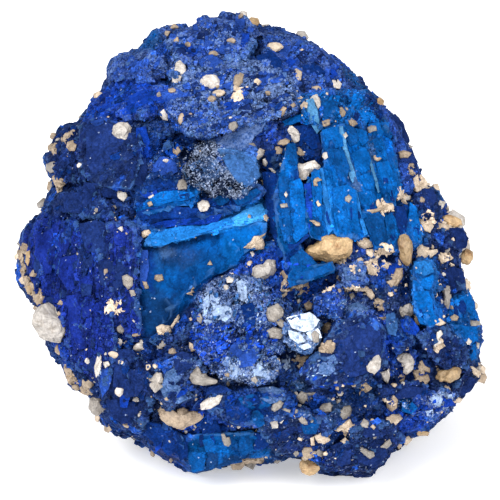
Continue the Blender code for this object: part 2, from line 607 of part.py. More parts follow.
def pebble_mesh(shape, half_sizes, frame, middle, detail, grow=0.0):
    """A worn grain set in its own frame; it grows outwards by the same distance all round."""
    bm = worn_sphere(*shape, detail)
    for vert in bm.verts:
        way = vert.co.normalized()
        offset = Vector(vert.co[i] * half_sizes[i] + way[i] * grow for i in range(3))
        vert.co = middle + frame @ offset
    return bm


def pebble_frame(turn):
    """Axes across, up and out of the show face, turned in its plane by this many degrees."""
    axes = Matrix((RIGHT, UP, TOWARDS)).transposed()
    return axes @ Matrix.Rotation(math.radians(turn), 3, "Z")


def surface_depth(tree, x, y, half_width, half_height):
    """The level that a pebble sits at: near the highest of what the eye sees under and round it."""
    found = []
    for across, down in ROUND_A_PEBBLE:
        at_x, at_y = x + across * half_width, y + down * half_height
        start, end = place(at_x, at_y, EYE_SIDE), place(at_x, at_y, -EYE_SIDE)
        hit = tree.ray_cast(start, (end - start).normalized())[0]
        if hit:
            found.append(drawn(hit)[2])
    return sorted(found)[len(found) * 2 // 3] if found else rounded_depth(x, y)


def make_pebbles(mass):
    """The pebbles, each half sunk where the drawing has it, and all their sockets as one cutter."""
    tree = BVHTree.FromObject(mass, bpy.context.evaluated_depsgraph_get())
    sockets = bmesh.new()
    made = []
    for name, (x, y), half_width, half_height, turn, stand, taper, bend, finish in PEBBLES:
        half_depth = min(half_width, half_height) * PEBBLE_FLATNESS
        level = surface_depth(tree, x, y, half_width, half_height)
        middle = place(x, y, level) + TOWARDS * (half_depth * stand * UNIT)
        sizes = [half_width * UNIT, half_height * UNIT, half_depth * UNIT]
        setting = (sizes, pebble_frame(turn), middle, 3 if half_width * half_height > FINE_PEBBLE else 2)
        shape = (name, taper, bend)
        made.append(new_object(name, pebble_mesh(shape, *setting), finish))
        cutter = pebble_mesh(shape, *setting, SOCKET_GAP)
        socket = bpy.data.meshes.new("socket")
        cutter.to_mesh(socket)
        cutter.free()
        sockets.from_mesh(socket)
        bpy.data.meshes.remove(socket)
    return made, new_object("sockets", sockets, None)


def ground_cutter():
    """Everything below the surface that the stone rests on."""
    bm = bmesh.new()
    bmesh.ops.create_cube(bm, size=4 * WIDTH, matrix=Matrix.Translation((0, 0, -2 * WIDTH)))
    return new_object("ground", bm, None)


def main():
    for obj in list(bpy.data.objects):
        bpy.data.objects.remove(obj)
    mass = make_azurite()
    pebbles, sockets = make_pebbles(mass)
    cut(mass, ground_cutter(), "flat_base")
    cut(mass, sockets, "sockets")
    for pebble in pebbles:
        pebble.data.shade_smooth()


main()
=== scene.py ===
import math
import random

import bmesh
import bpy
import numpy as np
from mathutils import Matrix, Vector
from mathutils.bvhtree import BVHTree


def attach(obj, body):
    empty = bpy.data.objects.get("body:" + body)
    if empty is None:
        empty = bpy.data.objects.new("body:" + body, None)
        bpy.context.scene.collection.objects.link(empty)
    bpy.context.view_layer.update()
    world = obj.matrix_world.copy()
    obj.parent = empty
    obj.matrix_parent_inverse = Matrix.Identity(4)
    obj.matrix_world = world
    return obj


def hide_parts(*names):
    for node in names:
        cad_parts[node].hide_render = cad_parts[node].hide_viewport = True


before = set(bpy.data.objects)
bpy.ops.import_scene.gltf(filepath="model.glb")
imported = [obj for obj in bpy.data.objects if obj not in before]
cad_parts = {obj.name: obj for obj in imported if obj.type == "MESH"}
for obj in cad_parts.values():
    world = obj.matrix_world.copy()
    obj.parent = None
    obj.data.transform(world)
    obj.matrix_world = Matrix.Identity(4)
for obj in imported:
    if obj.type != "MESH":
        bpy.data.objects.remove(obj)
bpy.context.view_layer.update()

# ---------------------------------------------------------------------------------------------
# The azurite mass: one lump of intergrown copper carbonate crystals, broken out of sandstone.
# Its show face is blocky cleavage steps, ribs and a great flat face; the rest is rough fracture.
# It is grown from the same drawing as its solid, with finer crystals, steps, chips and grain.
# ---------------------------------------------------------------------------------------------

# The drawing: x runs right, y down and depth out towards the eye, all in drawing units.
WIDTH = 0.030  # metres across the show face
EYE_DISTANCE = 0.25
UNIT = WIDTH / 466.0
MIDDLE = np.array((250.0, 247.0))
SHOW_TILT = math.radians(22.0)
RIGHT = np.array((1.0, 0.0, 0.0))
UP = np.array((0.0, math.sin(SHOW_TILT), math.cos(SHOW_TILT)))
TOWARDS = np.array((0.0, -math.cos(SHOW_TILT), math.sin(SHOW_TILT)))
CENTRE = np.array((0.0, 0.0, 0.0126))

# The rounded form: how far it bulges to the front and back, how it leans back, how square its sides
# are, and how near its rim the drawn outline and not the smoothed one holds.
FRONT_BULGE = 0.0104 / UNIT
BACK_BULGE = 0.0125 / UNIT
LEAN = 0.20
FRONT_ROUNDNESS = 2.25
BACK_ROUNDNESS = 2.7
SHARP_BAND = 0.28
OUTERMOST = 0.985
CORE_SINK = 11.0  # the core lies this far under the crystals


def corners_of(numbers):
    """Numbers that are x and y in turn, as corners on the drawing."""
    return tuple(zip(numbers[::2], numbers[1::2]))


OUTLINE = corners_of((
    250,24, 243,14, 220,12, 198,15, 187,24, 162,25, 151,29, 148,38, 140,51, 122,50, 110,58, 107,66,
    108,76, 104,93, 96,97, 87,103, 85,117, 78,120, 64,122, 56,128, 51,139, 48,149, 41,160, 48,170, 53,185,
    46,199, 45,213, 30,220, 21,233, 17,248, 15,271, 20,288, 29,300, 38,308, 42,326, 47,343, 50,353,
    60,364, 64,377, 71,390, 90,398, 98,416, 105,430, 119,437, 140,442, 150,454, 172,464, 187,475, 196,477,
    215,471, 250,464, 293,459, 312,462, 322,474, 354,480, 371,480, 388,468, 391,456, 409,437, 429,436,
    437,428, 459,408, 468,400, 476,386, 484,379, 479,360, 481,339, 481,322, 476,309, 468,285, 462,266,
    463,252, 470,239, 464,226, 448,214, 445,204, 438,193, 425,183, 422,167, 414,152, 405,136, 403,121,
    387,110, 378,96, 368,88, 352,70, 339,57, 322,46, 306,34, 288,28, 263,29,
))

# The crystals of the show face: name, lift of the front face over the stone's rounded form, how much
# that face rises to the right and upwards, how far the sides flare going in, and its corners' x and y.
CRYSTALS = (
    ("crown", 8, 0, -0.3, 1.15, 160,28, 187,25, 198,16, 220,13, 243,15, 262,31, 238,60, 204,66, 178,66),
    ("left_shoulder", 8, 0.1, -0.2, 1.15, 109,66, 122,51, 140,52, 163,58, 176,75, 150,82, 122,80, 109,78),
    ("left_ledge", 4, 0, -0.35, 1.1, 88,102, 104,92, 122,79, 150,80, 176,92, 165,112, 130,120, 88,120),
    ("smooth_navy_face", 10, -0.05, 0.05, 1.1, 80,124, 106,118, 140,134, 142,160, 131,190, 96,186,
     80,166),
    ("left_knob", 4, 0.15, -0.1, 1.2, 50,140, 62,124, 80,122, 81,150, 86,182, 60,184, 45,160),
    ("upper_plateau", 6, 0, -0.15, 1.15, 168,110, 184,74, 212,66, 262,62, 292,80, 296,112, 256,122,
     222,136, 190,134),
    ("right_plateau", 3, -0.1, -0.1, 1.15, 262,33, 290,30, 322,48, 340,62, 340,92, 300,96, 262,64),
    ("silvery_knob", 13, 0.05, 0.2, 0.85, 182,168, 194,146, 214,141, 224,150, 234,172, 246,190, 238,198,
     212,194, 188,186),
    ("knob_plate", 14, -0.1, 0.1, 0.9, 216,148, 240,151, 256,158, 260,175, 249,187, 240,184, 228,168),
    ("middle_strata", 6, 0, 0.3, 0.9, 132,190, 150,172, 186,182, 192,196, 160,202, 134,208),
    ("upper_sliver", 5, 0, -0.3, 1.05, 138,214, 146,200, 190,186, 200,192, 194,204, 156,213),
    ("lower_strata", 1, 0, 0.2, 0.95, 134,222, 160,212, 200,200, 240,198, 262,186, 262,196, 200,222,
     160,232),
    ("bright_shelf", -3, 0.05, -0.6, 1.05, 144,246, 150,233, 182,228, 215,224, 231,215, 248,204, 268,200,
     268,221, 240,227, 190,238, 160,247),
    ("great_face", -7, 0.1, 0.12, 1.05, 140,249, 160,248, 190,239, 238,228, 268,222, 266,236, 244,254,
     236,266, 212,276, 194,294, 180,316, 166,330, 145,336, 137,302),
    ("left_wall", 5, -0.1, 0.1, 1.1, 106,222, 134,226, 137,250, 136,300, 142,334, 124,338, 112,300,
     108,262),
    ("violet_bulge", 7, 0.1, -0.05, 1.1, 22,236, 44,216, 76,222, 100,250, 108,300, 116,350, 104,384,
     72,362, 64,322, 34,300),
    ("left_facet", 6, 0.05, -0.2, 1.1, 58,192, 88,186, 106,204, 116,218, 84,216, 50,212),
    ("upper_right_lumps", 5, -0.1, -0.1, 1.15, 300,96, 340,92, 370,92, 386,112, 384,126, 350,124, 322,128,
     304,120),
    ("dark_wedge", 2, 0.1, 0.1, 1, 292,128, 308,121, 326,146, 322,166, 302,160),
    ("rib_one", 9, -0.25, 0.05, 0.95, 286,150, 288,142, 296,146, 298,184, 307,187, 309,232, 296,244,
     284,254, 277,240, 273,196),
    ("rib_two", 10, -0.3, 0.05, 0.95, 305,184, 321,168, 327,198, 333,234, 322,242, 310,238, 306,206),
    ("rib_three", 8, -0.25, 0, 1, 320,132, 342,124, 352,164, 360,200, 369,236, 346,240, 334,234, 327,196),
    ("rib_four", 7, -0.2, 0, 1, 343,124, 366,136, 376,170, 385,206, 372,214, 362,204, 353,166),
    ("rib_five", 6, -0.2, 0, 1, 367,136, 386,124, 396,160, 403,192, 396,207, 386,206, 377,170),
    ("rib_foot_left", 5, -0.15, 0.05, 1.05, 362,212, 385,209, 390,250, 374,252),
    ("rib_foot_right", 4, -0.15, 0.05, 1.05, 386,209, 398,207, 406,246, 391,250),
    ("violet_blade", 3, -0.1, 0, 1, 397,206, 408,206, 411,240, 403,242),
    ("outer_blade", 3, -0.2, 0, 1.05, 408,204, 420,212, 422,240, 414,248, 404,236),
    ("right_rim_upper", 2, -0.05, -0.05, 1.2, 378,98, 400,120, 405,138, 414,154, 396,158, 386,128),
    ("right_rim_middle", 2, -0.1, 0, 1.15, 398,160, 414,154, 424,182, 408,192, 402,188),
    ("right_knob", 8, -0.1, 0, 1.1, 414,196, 424,186, 438,194, 440,214, 426,220, 416,210),
    ("far_right_knob", 5, -0.05, 0, 1.15, 436,236, 456,222, 470,240, 462,250, 444,250),
    ("blue_flake", 13, 0.05, -0.25, 0.9, 289,272, 298,263, 318,266, 333,261, 336,270, 312,280, 290,287),
    ("flake_step", 9, 0, -0.1, 1, 284,256, 300,244, 312,258, 306,270, 290,272),
    ("rust_block", 8, 0, -0.15, 1.1, 338,266, 362,262, 371,280, 346,286),
    ("right_column", 12, -0.05, 0, 1.05, 413,266, 420,260, 431,260, 436,268, 434,298, 444,318, 428,328,
     414,312),
    ("right_slabs", 5, -0.15, 0, 1.1, 447,302, 470,288, 478,310, 480,340, 478,360, 464,350, 450,326),
    ("far_right_lump", 4, -0.1, 0, 1.15, 438,272, 464,266, 468,286, 452,292, 440,288),
    ("druse_crest", 13, -0.1, -0.25, 0.9, 197,300, 208,286, 232,276, 262,281, 284,298, 268,316, 238,322,
     208,320),
    ("druse_left", 12, 0.2, 0.05, 0.95, 194,312, 212,306, 240,318, 236,352, 212,372, 196,350),
    ("druse_right", 15, -0.15, 0, 0.95, 240,318, 268,312, 286,302, 293,330, 282,350, 256,356, 238,346),
    ("druse_tuft_left", 15, 0.05, 0.3, 0.9, 214,366, 226,358, 246,366, 248,382, 220,378),
    ("druse_tuft_right", 16, -0.05, 0.25, 0.9, 244,366, 262,356, 280,362, 272,378, 250,383),
    ("sparkling_crystal", 19, -0.05, -0.05, 1, 284,322, 304,312, 320,324, 318,344, 300,350, 286,340),
    ("granular_block", 14, 0, -0.05, 1.05, 314,296, 340,284, 346,310, 338,320, 316,316),
    ("navy_lump", 17, -0.05, 0.05, 1.1, 334,326, 362,312, 384,328, 386,362, 356,384, 316,386, 298,374,
     320,350),
    ("right_lump", 12, -0.1, 0, 1.1, 418,336, 446,326, 464,344, 470,364, 444,372, 428,354),
    ("corner_shelf", 8, -0.1, 0.05, 1.05, 454,386, 468,368, 484,379, 474,392, 458,402),
    ("small_right_blocks", 9, 0, -0.1, 1.1, 388,322, 408,318, 414,344, 398,352, 388,340),
    ("dark_seam_block", 6, 0, 0.25, 1, 376,384, 420,380, 436,392, 410,404, 380,398),
    ("banded_crystal", 10, 0, -0.15, 1, 402,404, 430,392, 456,394, 458,404, 432,420, 410,414),
    ("foot_centre", 10, 0, 0.1, 1, 326,452, 350,440, 382,450, 390,460, 374,478, 350,479, 330,470),
    ("foot_right", 9, -0.05, 0.1, 1, 352,430, 388,422, 404,440, 388,452, 360,446),
    ("under_ledge", 7, 0, 0.15, 1, 262,428, 292,410, 330,420, 320,452, 276,456),
    ("bright_foot", 2, 0.05, 0.1, 1.05, 186,440, 200,434, 250,432, 272,438, 270,458, 232,467, 197,476,
     188,470),
    ("dark_foot", 3, 0.2, 0.1, 1.05, 150,432, 164,424, 184,438, 184,472, 154,454),
    ("lower_left_lump", 11, 0.05, 0, 1.1, 106,376, 130,356, 150,366, 152,400, 140,430, 112,426, 100,404),
    ("dusty_slope", 12, 0.05, -0.1, 1.1, 152,366, 176,354, 206,370, 196,396, 168,408, 154,396),
    ("lower_step", 12, 0, -0.1, 1, 206,396, 250,388, 296,396, 290,414, 236,424, 208,412),
)

CRYSTALS = [(*row[:5], corners_of(row[5:])) for row in CRYSTALS]

# The crystals whose faces are whole, with nothing small grown on them.
WHOLE_FACES = (
    "great_face", "bright_shelf", "smooth_navy_face", "bright_foot", "right_column", "blue_flake",
    "rib_one", "rib_two", "rib_three", "rib_four", "rib_five", "navy_lump", "upper_sliver", "knob_plate",
)

# Hollows between the crystals: middle, half width and half height on the drawing, turn in degrees,
# and depth in drawing units.
HOLLOWS = (
    ((267, 190), 9, 44, 4, 26), ((213, 283), 30, 5, 38, 18), ((178, 322), 22, 6, 52, 16),
    ((226, 431), 44, 6, 2, 20), ((322, 292), 26, 7, 10, 14), ((300, 302), 16, 6, -30, 14),
    ((112, 114), 26, 4, 12, 12), ((246, 390), 34, 5, 4, 14), ((388, 262), 9, 18, 0, 14),
    ((422, 334), 16, 6, -20, 12), ((305, 408), 34, 6, 6, 12), ((172, 142), 12, 7, 20, 16),
)

# The blues: what the copper carbonate shows where it is clean, bedded, bruised or powdery.
TINTS = {
    "bright": "#1864ac", "azure": "#03376c", "sky": "#024686", "lapis": "#12389c", "deep": "#052259",
    "dusty": "#1d3a80", "vivid": "#0a2d80", "navy": "#10204c", "violet": "#0e1e62", "plate": "#294b7a",
    "slate": "#2a4368", "frost": "#8092ae", "black": "#03060c", "ink": "#060d1e", "seam": "#396589",
    "pale": "#1a5a98", "shelf": "#3585c6", "column": "#125296", "spark": "#b4c2d6", "teal": "#092b55",
    "plateau": "#2c4a80", "fresh": "#0c44a4",
}

# How each crystal broke: its blue, its grain in degrees from level, how long its chips are along the
# grain, how coarse and how fine they are, how much pale powder it has and how many painted glints its
# glassy facets get, and how thickly crumbs are grown on it.
HABITS = {
    "crown": ("dusty", 80, 1.2, 0.6, 1, 0.5, 0, 0.35),
    "left_shoulder": ("dusty", 60, 1.2, 0.6, 1, 0.5, 0, 0.35),
    "left_ledge": ("vivid", 15, 1.5, 0.9, 0.8, 0.25, 0, 0.5),
    "smooth_navy_face": ("navy", 30, 1.2, 0.25, 0.6, 0.1, 0, 0),
    "left_knob": ("navy", 60, 1.2, 0.9, 1, 0.1, 0, 1),
    "upper_plateau": ("dusty", 20, 1.2, 0.5, 1.2, 1, 0.03, 0.3),
    "right_plateau": ("dusty", 50, 1.2, 0.8, 1, 0.35, 0, 0.6),
    "silvery_knob": ("ink", 60, 1.3, 0.6, 1.2, 0.1, 0.7, 0.5),
    "knob_plate": ("plate", 130, 1.6, 0.15, 0.5, 0.25, 0.02, 0),
    "middle_strata": ("deep", 14, 2.6, 0.8, 0.7, 0.15, 0, 0.4),
    "upper_sliver": ("sky", 14, 3, 0.2, 0.5, 0.05, 0, 0),
    "lower_strata": ("deep", 14, 3, 0.7, 0.6, 0.05, 0, 0.2),
    "bright_shelf": ("bright", 14, 3, 0.2, 0.4, 0, 0, 0),
    "great_face": ("azure", 60, 1.5, 0.08, 0.3, 0, 0, 0),
    "left_wall": ("violet", 84, 2.4, 0.8, 0.9, 0.2, 0, 0.8),
    "violet_bulge": ("violet", 84, 2.6, 0.8, 0.9, 0.12, 0, 0.5),
    "left_facet": ("navy", 30, 1.4, 0.6, 0.7, 0.12, 0, 0.3),
    "upper_right_lumps": ("sky", 70, 1.4, 0.9, 0.9, 0.2, 0, 0.5),
    "dark_wedge": ("deep", 70, 1.6, 0.6, 0.8, 0.15, 0, 0.2),
    "rib_one": ("azure", 98, 3.4, 0.12, 0.4, 0, 0, 0), "rib_two": ("azure", 100, 3.4, 0.12, 0.4, 0, 0, 0),
    "rib_three": ("sky", 100, 3.4, 0.12, 0.4, 0.05, 0, 0),
    "rib_four": ("sky", 102, 3.4, 0.12, 0.5, 0, 0, 0.05),
    "rib_five": ("sky", 100, 3, 0.12, 0.5, 0.05, 0, 0.1),
    "rib_foot_left": ("azure", 98, 3, 0.5, 0.5, 0.05, 0, 0.2),
    "rib_foot_right": ("azure", 98, 3, 0.5, 0.5, 0.05, 0, 0.2),
    "violet_blade": ("deep", 98, 3, 0.5, 0.5, 0, 0, 0.1),
    "outer_blade": ("sky", 98, 2.6, 0.5, 0.5, 0.1, 0, 0.2),
    "right_rim_upper": ("dusty", 110, 1.4, 0.8, 1, 0.2, 0, 0.8),
    "right_rim_middle": ("dusty", 110, 1.4, 0.8, 1, 0.25, 0, 0.8),
    "right_knob": ("navy", 90, 1.2, 0.6, 0.8, 0.15, 0, 0.3),
    "far_right_knob": ("navy", 90, 1.2, 0.6, 0.8, 0.15, 0, 0.3),
    "blue_flake": ("azure", 5, 2, 0.2, 0.4, 0, 0, 0), "flake_step": ("deep", 5, 2, 0.4, 0.6, 0, 0, 0.2),
    "rust_block": ("dusty", 20, 1.2, 0.5, 1, 0.6, 0, 0.3),
    "right_column": ("column", 92, 2, 0.12, 0.5, 0.05, 0, 0),
    "right_slabs": ("sky", 92, 2.4, 0.6, 0.6, 0.1, 0, 0.1),
    "far_right_lump": ("navy", 90, 1.2, 0.6, 1, 0.25, 0, 0.5),
    "druse_crest": ("deep", 40, 1.1, 0.8, 1.3, 0.75, 0.2, 0.8),
    "druse_left": ("vivid", 120, 1.1, 0.8, 1.3, 0.45, 0.08, 0.8),
    "druse_right": ("deep", 60, 1.1, 0.8, 1.3, 0.55, 0.1, 0.8),
    "druse_tuft_left": ("deep", 80, 1.4, 0.8, 1.3, 0.6, 0.35, 0.9),
    "druse_tuft_right": ("deep", 80, 1.4, 0.8, 1.3, 0.7, 0.4, 0.9),
    "sparkling_crystal": ("slate", 60, 1.2, 0.8, 1.3, 0.6, 0.5, 0.9),
    "granular_block": ("dusty", 30, 1.1, 0.6, 1.3, 0.2, 0.15, 0.8),
    "navy_lump": ("navy", 40, 1.3, 0.35, 0.7, 0.15, 0, 0.05),
    "right_lump": ("navy", 60, 1.2, 0.7, 0.9, 0.2, 0, 0.6),
    "corner_shelf": ("navy", 20, 1.4, 0.6, 0.9, 0.15, 0, 0.3),
    "small_right_blocks": ("deep", 40, 1.2, 0.8, 0.9, 0.2, 0, 0.6),
    "dark_seam_block": ("navy", 10, 1.8, 0.6, 0.8, 0.1, 0, 0.3),
    "banded_crystal": ("vivid", 12, 2.2, 0.8, 1.2, 0.3, 0.25, 0.6),
    "foot_centre": ("navy", 70, 1.3, 0.8, 0.8, 0.1, 0.05, 0.5),
    "foot_right": ("navy", 30, 1.3, 0.8, 0.9, 0.15, 0, 0.7),
    "under_ledge": ("navy", 20, 1.5, 0.9, 0.9, 0.2, 0.05, 1),
    "bright_foot": ("azure", 94, 3, 0.12, 0.5, 0, 0, 0),
    "dark_foot": ("deep", 100, 2, 0.4, 0.6, 0.05, 0, 0.1),
    "lower_left_lump": ("navy", 80, 1.4, 0.8, 0.8, 0.15, 0, 0.5),
    "dusty_slope": ("navy", 30, 1.2, 0.5, 1.1, 0.45, 0, 0.4),
    "lower_step": ("deep", 10, 1.6, 0.8, 0.9, 0.25, 0, 0.6),
}
# Stains and frostings on the show face: middle, half width and half height on the drawing, their blue,
# how much powder lies in them and how many painted glints they get.
PATCHES = (
    (245, 291, 8, 9, "frost", 0.9, 0.5), (210, 297, 7, 8, "frost", 0.9, 0.5),
    (205, 308, 4, 8, "frost", 0.8, 0.4), (224, 313, 9, 7, "frost", 0.9, 0.5),
    (236, 373, 9, 7, "frost", 0.9, 0.7), (261, 373, 11, 7, "frost", 0.9, 0.9),
    (302, 331, 14, 13, "frost", 0.7, 1), (440, 400, 12, 6, "frost", 0.6, 1),
    (264, 300, 6, 6, "frost", 0.6, 0.3), (228, 342, 18, 9, "vivid", 0.1, 0.1),
    (262, 338, 14, 7, "vivid", 0.1, 0.1), (276, 292, 8, 5, "vivid", 0.2, 0.1),
    (176, 256, 27, 14, "teal", 0.1, 0), (160, 308, 20, 20, "teal", 0, 0), (242, 240, 26, 14, "sky", 0, 0),
    (206, 240, 16, 7, "sky", 0, 0), (168, 252, 10, 7, "slate", 0.1, 0), (150, 268, 5, 20, "deep", 0, 0),
    (180, 152, 13, 8, "black", 0, 0.1), (222, 158, 6, 5, "black", 0, 0.4),
    (240, 187, 9, 5, "black", 0, 0.5), (208, 168, 16, 12, "slate", 0.5, 0.45),
    (160, 168, 18, 8, "dusty", 0.8, 0.3), (118, 98, 18, 9, "vivid", 0.1, 0),
    (150, 100, 12, 6, "vivid", 0.2, 0), (60, 262, 16, 14, "vivid", 0.1, 0),
    (66, 240, 24, 8, "vivid", 0.2, 0), (84, 256, 10, 18, "navy", 0.1, 0), (146, 152, 8, 8, "vivid", 0, 0),
    (192, 52, 14, 5, "vivid", 0, 0), (286, 44, 14, 8, "dusty", 0.5, 0), (330, 80, 10, 12, "deep", 0.1, 0),
    (372, 100, 8, 12, "deep", 0.1, 0), (313, 114, 5, 14, "sky", 0.3, 0), (288, 166, 4, 20, "sky", 0.1, 0),
    (296, 176, 8, 10, "deep", 0, 0), (284, 218, 6, 24, "azure", 0, 0), (302, 214, 3, 22, "bright", 0, 0),
    (328, 205, 4, 30, "bright", 0, 0), (356, 190, 5, 30, "slate", 0.4, 0.1),
    (371, 158, 3, 22, "plate", 0.3, 0.1), (340, 134, 6, 6, "plate", 0.5, 0.1),
    (272, 196, 6, 26, "deep", 0, 0), (316, 150, 9, 12, "deep", 0.1, 0), (346, 278, 8, 8, "dusty", 0.8, 0),
    (384, 318, 12, 8, "vivid", 0.2, 0.1), (344, 298, 10, 10, "vivid", 0.2, 0.2),
    (360, 306, 10, 10, "dusty", 0.6, 0.1), (392, 348, 10, 14, "vivid", 0.1, 0),
    (404, 288, 6, 12, "deep", 0, 0), (404, 402, 8, 8, "sky", 0.1, 0.3), (255, 418, 7, 6, "azure", 0.1, 0),
    (166, 450, 10, 14, "navy", 0, 0), (206, 452, 14, 14, "azure", 0, 0),
    (296, 384, 12, 8, "plate", 0.5, 0.1), (340, 408, 12, 8, "slate", 0.3, 0.1),
    (270, 392, 20, 6, "dusty", 0.5, 0.1),
)

# The sides and back, and the gaps of the show face.
ELSEWHERE = ("navy", 70, 1.3, 1.0, 1.0, 0.22, 0.0, 0.9)
HABIT_ROWS = [HABITS[name] for name, *_rest in CRYSTALS] + [ELSEWHERE]


def place(x, y, depth):
    """The points in space of points of the drawing."""
    x, y, depth = (np.asarray(value, float)[..., None] for value in (x, y, depth))
    reach = UNIT * (1.0 - depth * UNIT / EYE_DISTANCE)
    flat = CENTRE + RIGHT * ((x - MIDDLE[0]) * reach) + UP * ((MIDDLE[1] - y) * reach)
    return flat + TOWARDS * (depth * UNIT)


def drawn(points):
    """Where points in space lie on the drawing: x, y and depth."""
    offset = np.asarray(points, float) - CENTRE
    depth = offset @ TOWARDS / UNIT
    reach = UNIT * (1.0 - depth * UNIT / EYE_DISTANCE)
    return MIDDLE[0] + offset @ RIGHT / reach, MIDDLE[1] - offset @ UP / reach, depth


def polar_outline(steps=1440, arc=math.radians(34.0)):
    """The outline about the middle: even angles, its reach there as drawn, and averaged over an arc."""
    corners = (np.array(OUTLINE, float) - MIDDLE) * (1.0, -1.0)
    even = np.linspace(-math.pi, math.pi, steps, endpoint=False)
    sharp = np.interp(even, np.arctan2(corners[:, 1], corners[:, 0]), np.hypot(*corners.T), period=math.tau)
    half_arc = round(arc / 2 / math.tau * steps)
    offsets = np.arange(-half_arc, half_arc + 1)
    weights = np.cos(offsets / (half_arc + 1) * math.pi / 2)
    smooth = sum(np.roll(sharp, -offset) * weight for offset, weight in zip(offsets, weights))
    return even, sharp, smooth / weights.sum()


ANGLES, SHARP, SMOOTH = polar_outline()


def reach_at(across, up, reaches):
    """How far the outline is from the middle in this direction."""
    return np.interp(np.arctan2(up, across), ANGLES, reaches, period=math.tau)


def rounded_depth(x, y):
    """How far the stone's rounded form stands out at points of the drawing."""
    across, up = np.asarray(x, float) - MIDDLE[0], MIDDLE[1] - np.asarray(y, float)
    share = np.minimum(np.hypot(across, up) / reach_at(across, up, SMOOTH), OUTERMOST)
    return FRONT_BULGE * (1.0 - share**FRONT_ROUNDNESS) ** (1.0 / FRONT_ROUNDNESS) - LEAN * up


def hollow_depth(x, y):
    """How deep the hollows between the crystals are at points of the drawing."""
    deep = 0.0
    for (middle_x, middle_y), half_width, half_height, turn, depth in HOLLOWS:
        across, up = x - middle_x, middle_y - y
        cos, sin = math.cos(math.radians(turn)), math.sin(math.radians(turn))
        along, aside = across * cos + up * sin, up * cos - across * sin
        deep = deep + depth * np.exp(-((along / half_width) ** 2) - (aside / half_height) ** 2)
    return deep


def body_points(ways, sink):
    """The points of the rounded form that lie these ways from its centre; sink lowers its front."""
    across, up, out = ways.T
    power = np.where(out > 0, FRONT_ROUNDNESS, BACK_ROUNDNESS)
    bulge = np.where(out > 0, FRONT_BULGE - sink, BACK_BULGE)
    smooth = reach_at(across, up, SMOOTH)
    reach = smooth + (reach_at(across, up, SHARP) - smooth) * np.exp(-((out / SHARP_BAND) ** 2))
    size = ((np.hypot(across, up) / reach) ** power + (np.abs(out) / bulge) ** power) ** (-1.0 / power)
    x, y, depth = MIDDLE[0] + across * size, MIDDLE[1] - up * size, (out - LEAN * up) * size
    points = place(x, y, depth)
    if sink:
        x, y, depth = drawn(points)
        depth = depth - np.where(out > 0, hollow_depth(x, y), 0.0)
        points = place(x, y, depth)
    return points


def body_mesh(subdivisions, sink):
    """The rounded form as a closed mesh; with a sink, its front is also hollowed."""
    bm = bmesh.new()
    bmesh.ops.create_icosphere(bm, subdivisions=subdivisions, radius=1.0)
    ways = np.array([vert.co for vert in bm.verts], float)
    for vert, point in zip(bm.verts, body_points(ways, sink)):
        vert.co = point
    bmesh.ops.recalc_face_normals(bm, faces=bm.faces)
    return bm


def add_prism(bm, front, back):
    """A closed prism between two rings of the same number of points."""
    near = [bm.verts.new(p) for p in front]
    far = [bm.verts.new(p) for p in back]
    faces = [bm.faces.new(near), bm.faces.new(list(reversed(far)))]
    for i in range(len(near)):
        j = (i + 1) % len(near)
        faces.append(bm.faces.new((near[j], near[i], far[i], far[j])))
    bmesh.ops.recalc_face_normals(bm, faces=faces)


LONG_EDGE = 15.0  # an edge longer than this broke in two


def broken_edge(corners, dice):
    """The corners with a point thrown in along each long edge, a little to one side of it."""
    made = []
    for (x0, y0), (x1, y1) in zip(corners, corners[1:] + corners[:1]):
        made.append((x0, y0))
        across, down = x1 - x0, y1 - y0
        length = math.hypot(across, down)
        if length > LONG_EDGE:
            along = dice.uniform(0.3, 0.7)
            aside = dice.uniform(-3.0, 3.0) / length
            made.append((x0 + across * along - down * aside, y0 + down * along + across * aside))
    return made


STEEPEST = 1.1  # how fast the form under a crystal may fall away
LIFT_UNIT = 1.9  # drawing units that one unit of a crystal's lift is


def crystal_plane(corners, lift, turn_right, turn_up):
    """A crystal's front plane as a function of the drawing: along the rounded form, lifted and turned."""
    points = np.array(corners, float)
    middle = points.mean(axis=0)
    rel = (points - middle) * (1.0, -1.0)
    depths = rounded_depth(points[:, 0], points[:, 1])
    level, right, up = np.linalg.lstsq(np.column_stack((np.ones(len(rel)), rel)), depths, rcond=None)[0]
    right = float(np.clip(right, -STEEPEST, STEEPEST)) + turn_right
    up = float(np.clip(up, -STEEPEST, STEEPEST)) + turn_up
    return lambda x, y: level + lift * LIFT_UNIT + (x - middle[0]) * right + (middle[1] - y) * up


def inside_by(corners, x, y):
    """How far points of the drawing lie inside a ring of corners; negative outside it."""
    nearest = np.full(np.shape(x), 1e9)
    crossed = np.zeros(np.shape(x), bool)
    for (x0, y0), (x1, y1) in zip(corners, corners[1:] + corners[:1]):
        ex, ey = x1 - x0, y1 - y0
        share = np.clip(((x - x0) * ex + (y - y0) * ey) / (ex * ex + ey * ey), 0.0, 1.0)
        nearest = np.minimum(nearest, np.hypot(x - x0 - share * ex, y - y0 - share * ey))
        if y0 != y1:
            crossed ^= ((y0 > y) != (y1 > y)) & (x < x0 + (y - y0) * ex / ey)
    return np.where(crossed, nearest, -nearest)


CRYSTAL_ROOT = 52.0  # how far each crystal reaches into the stone
STEP_ROOT = 12.0
STEP_AREA = 130.0  # one cleavage step to this much of a crystal's face
STEP = ((-1, -1), (-0.2, -1.1), (1, -0.9), (1.1, 0.2), (0.9, 1), (-1.05, 0.8))


def add_crystal(bm, name, lift, turn_right, turn_up, flare, corners):
    """One crystal of the show face: a prism behind its front plane."""
    plane = crystal_plane(corners, lift, turn_right, turn_up)
    middle = np.mean(corners, axis=0)
    front, back = [], []
    for x, y in broken_edge(corners, random.Random(name)):
        height = plane(x, y)
        front.append(place(x, y, height))
        inner = middle + (np.array((x, y)) - middle) * flare
        back.append(place(inner[0], inner[1], height - CRYSTAL_ROOT))
    add_prism(bm, front, back)


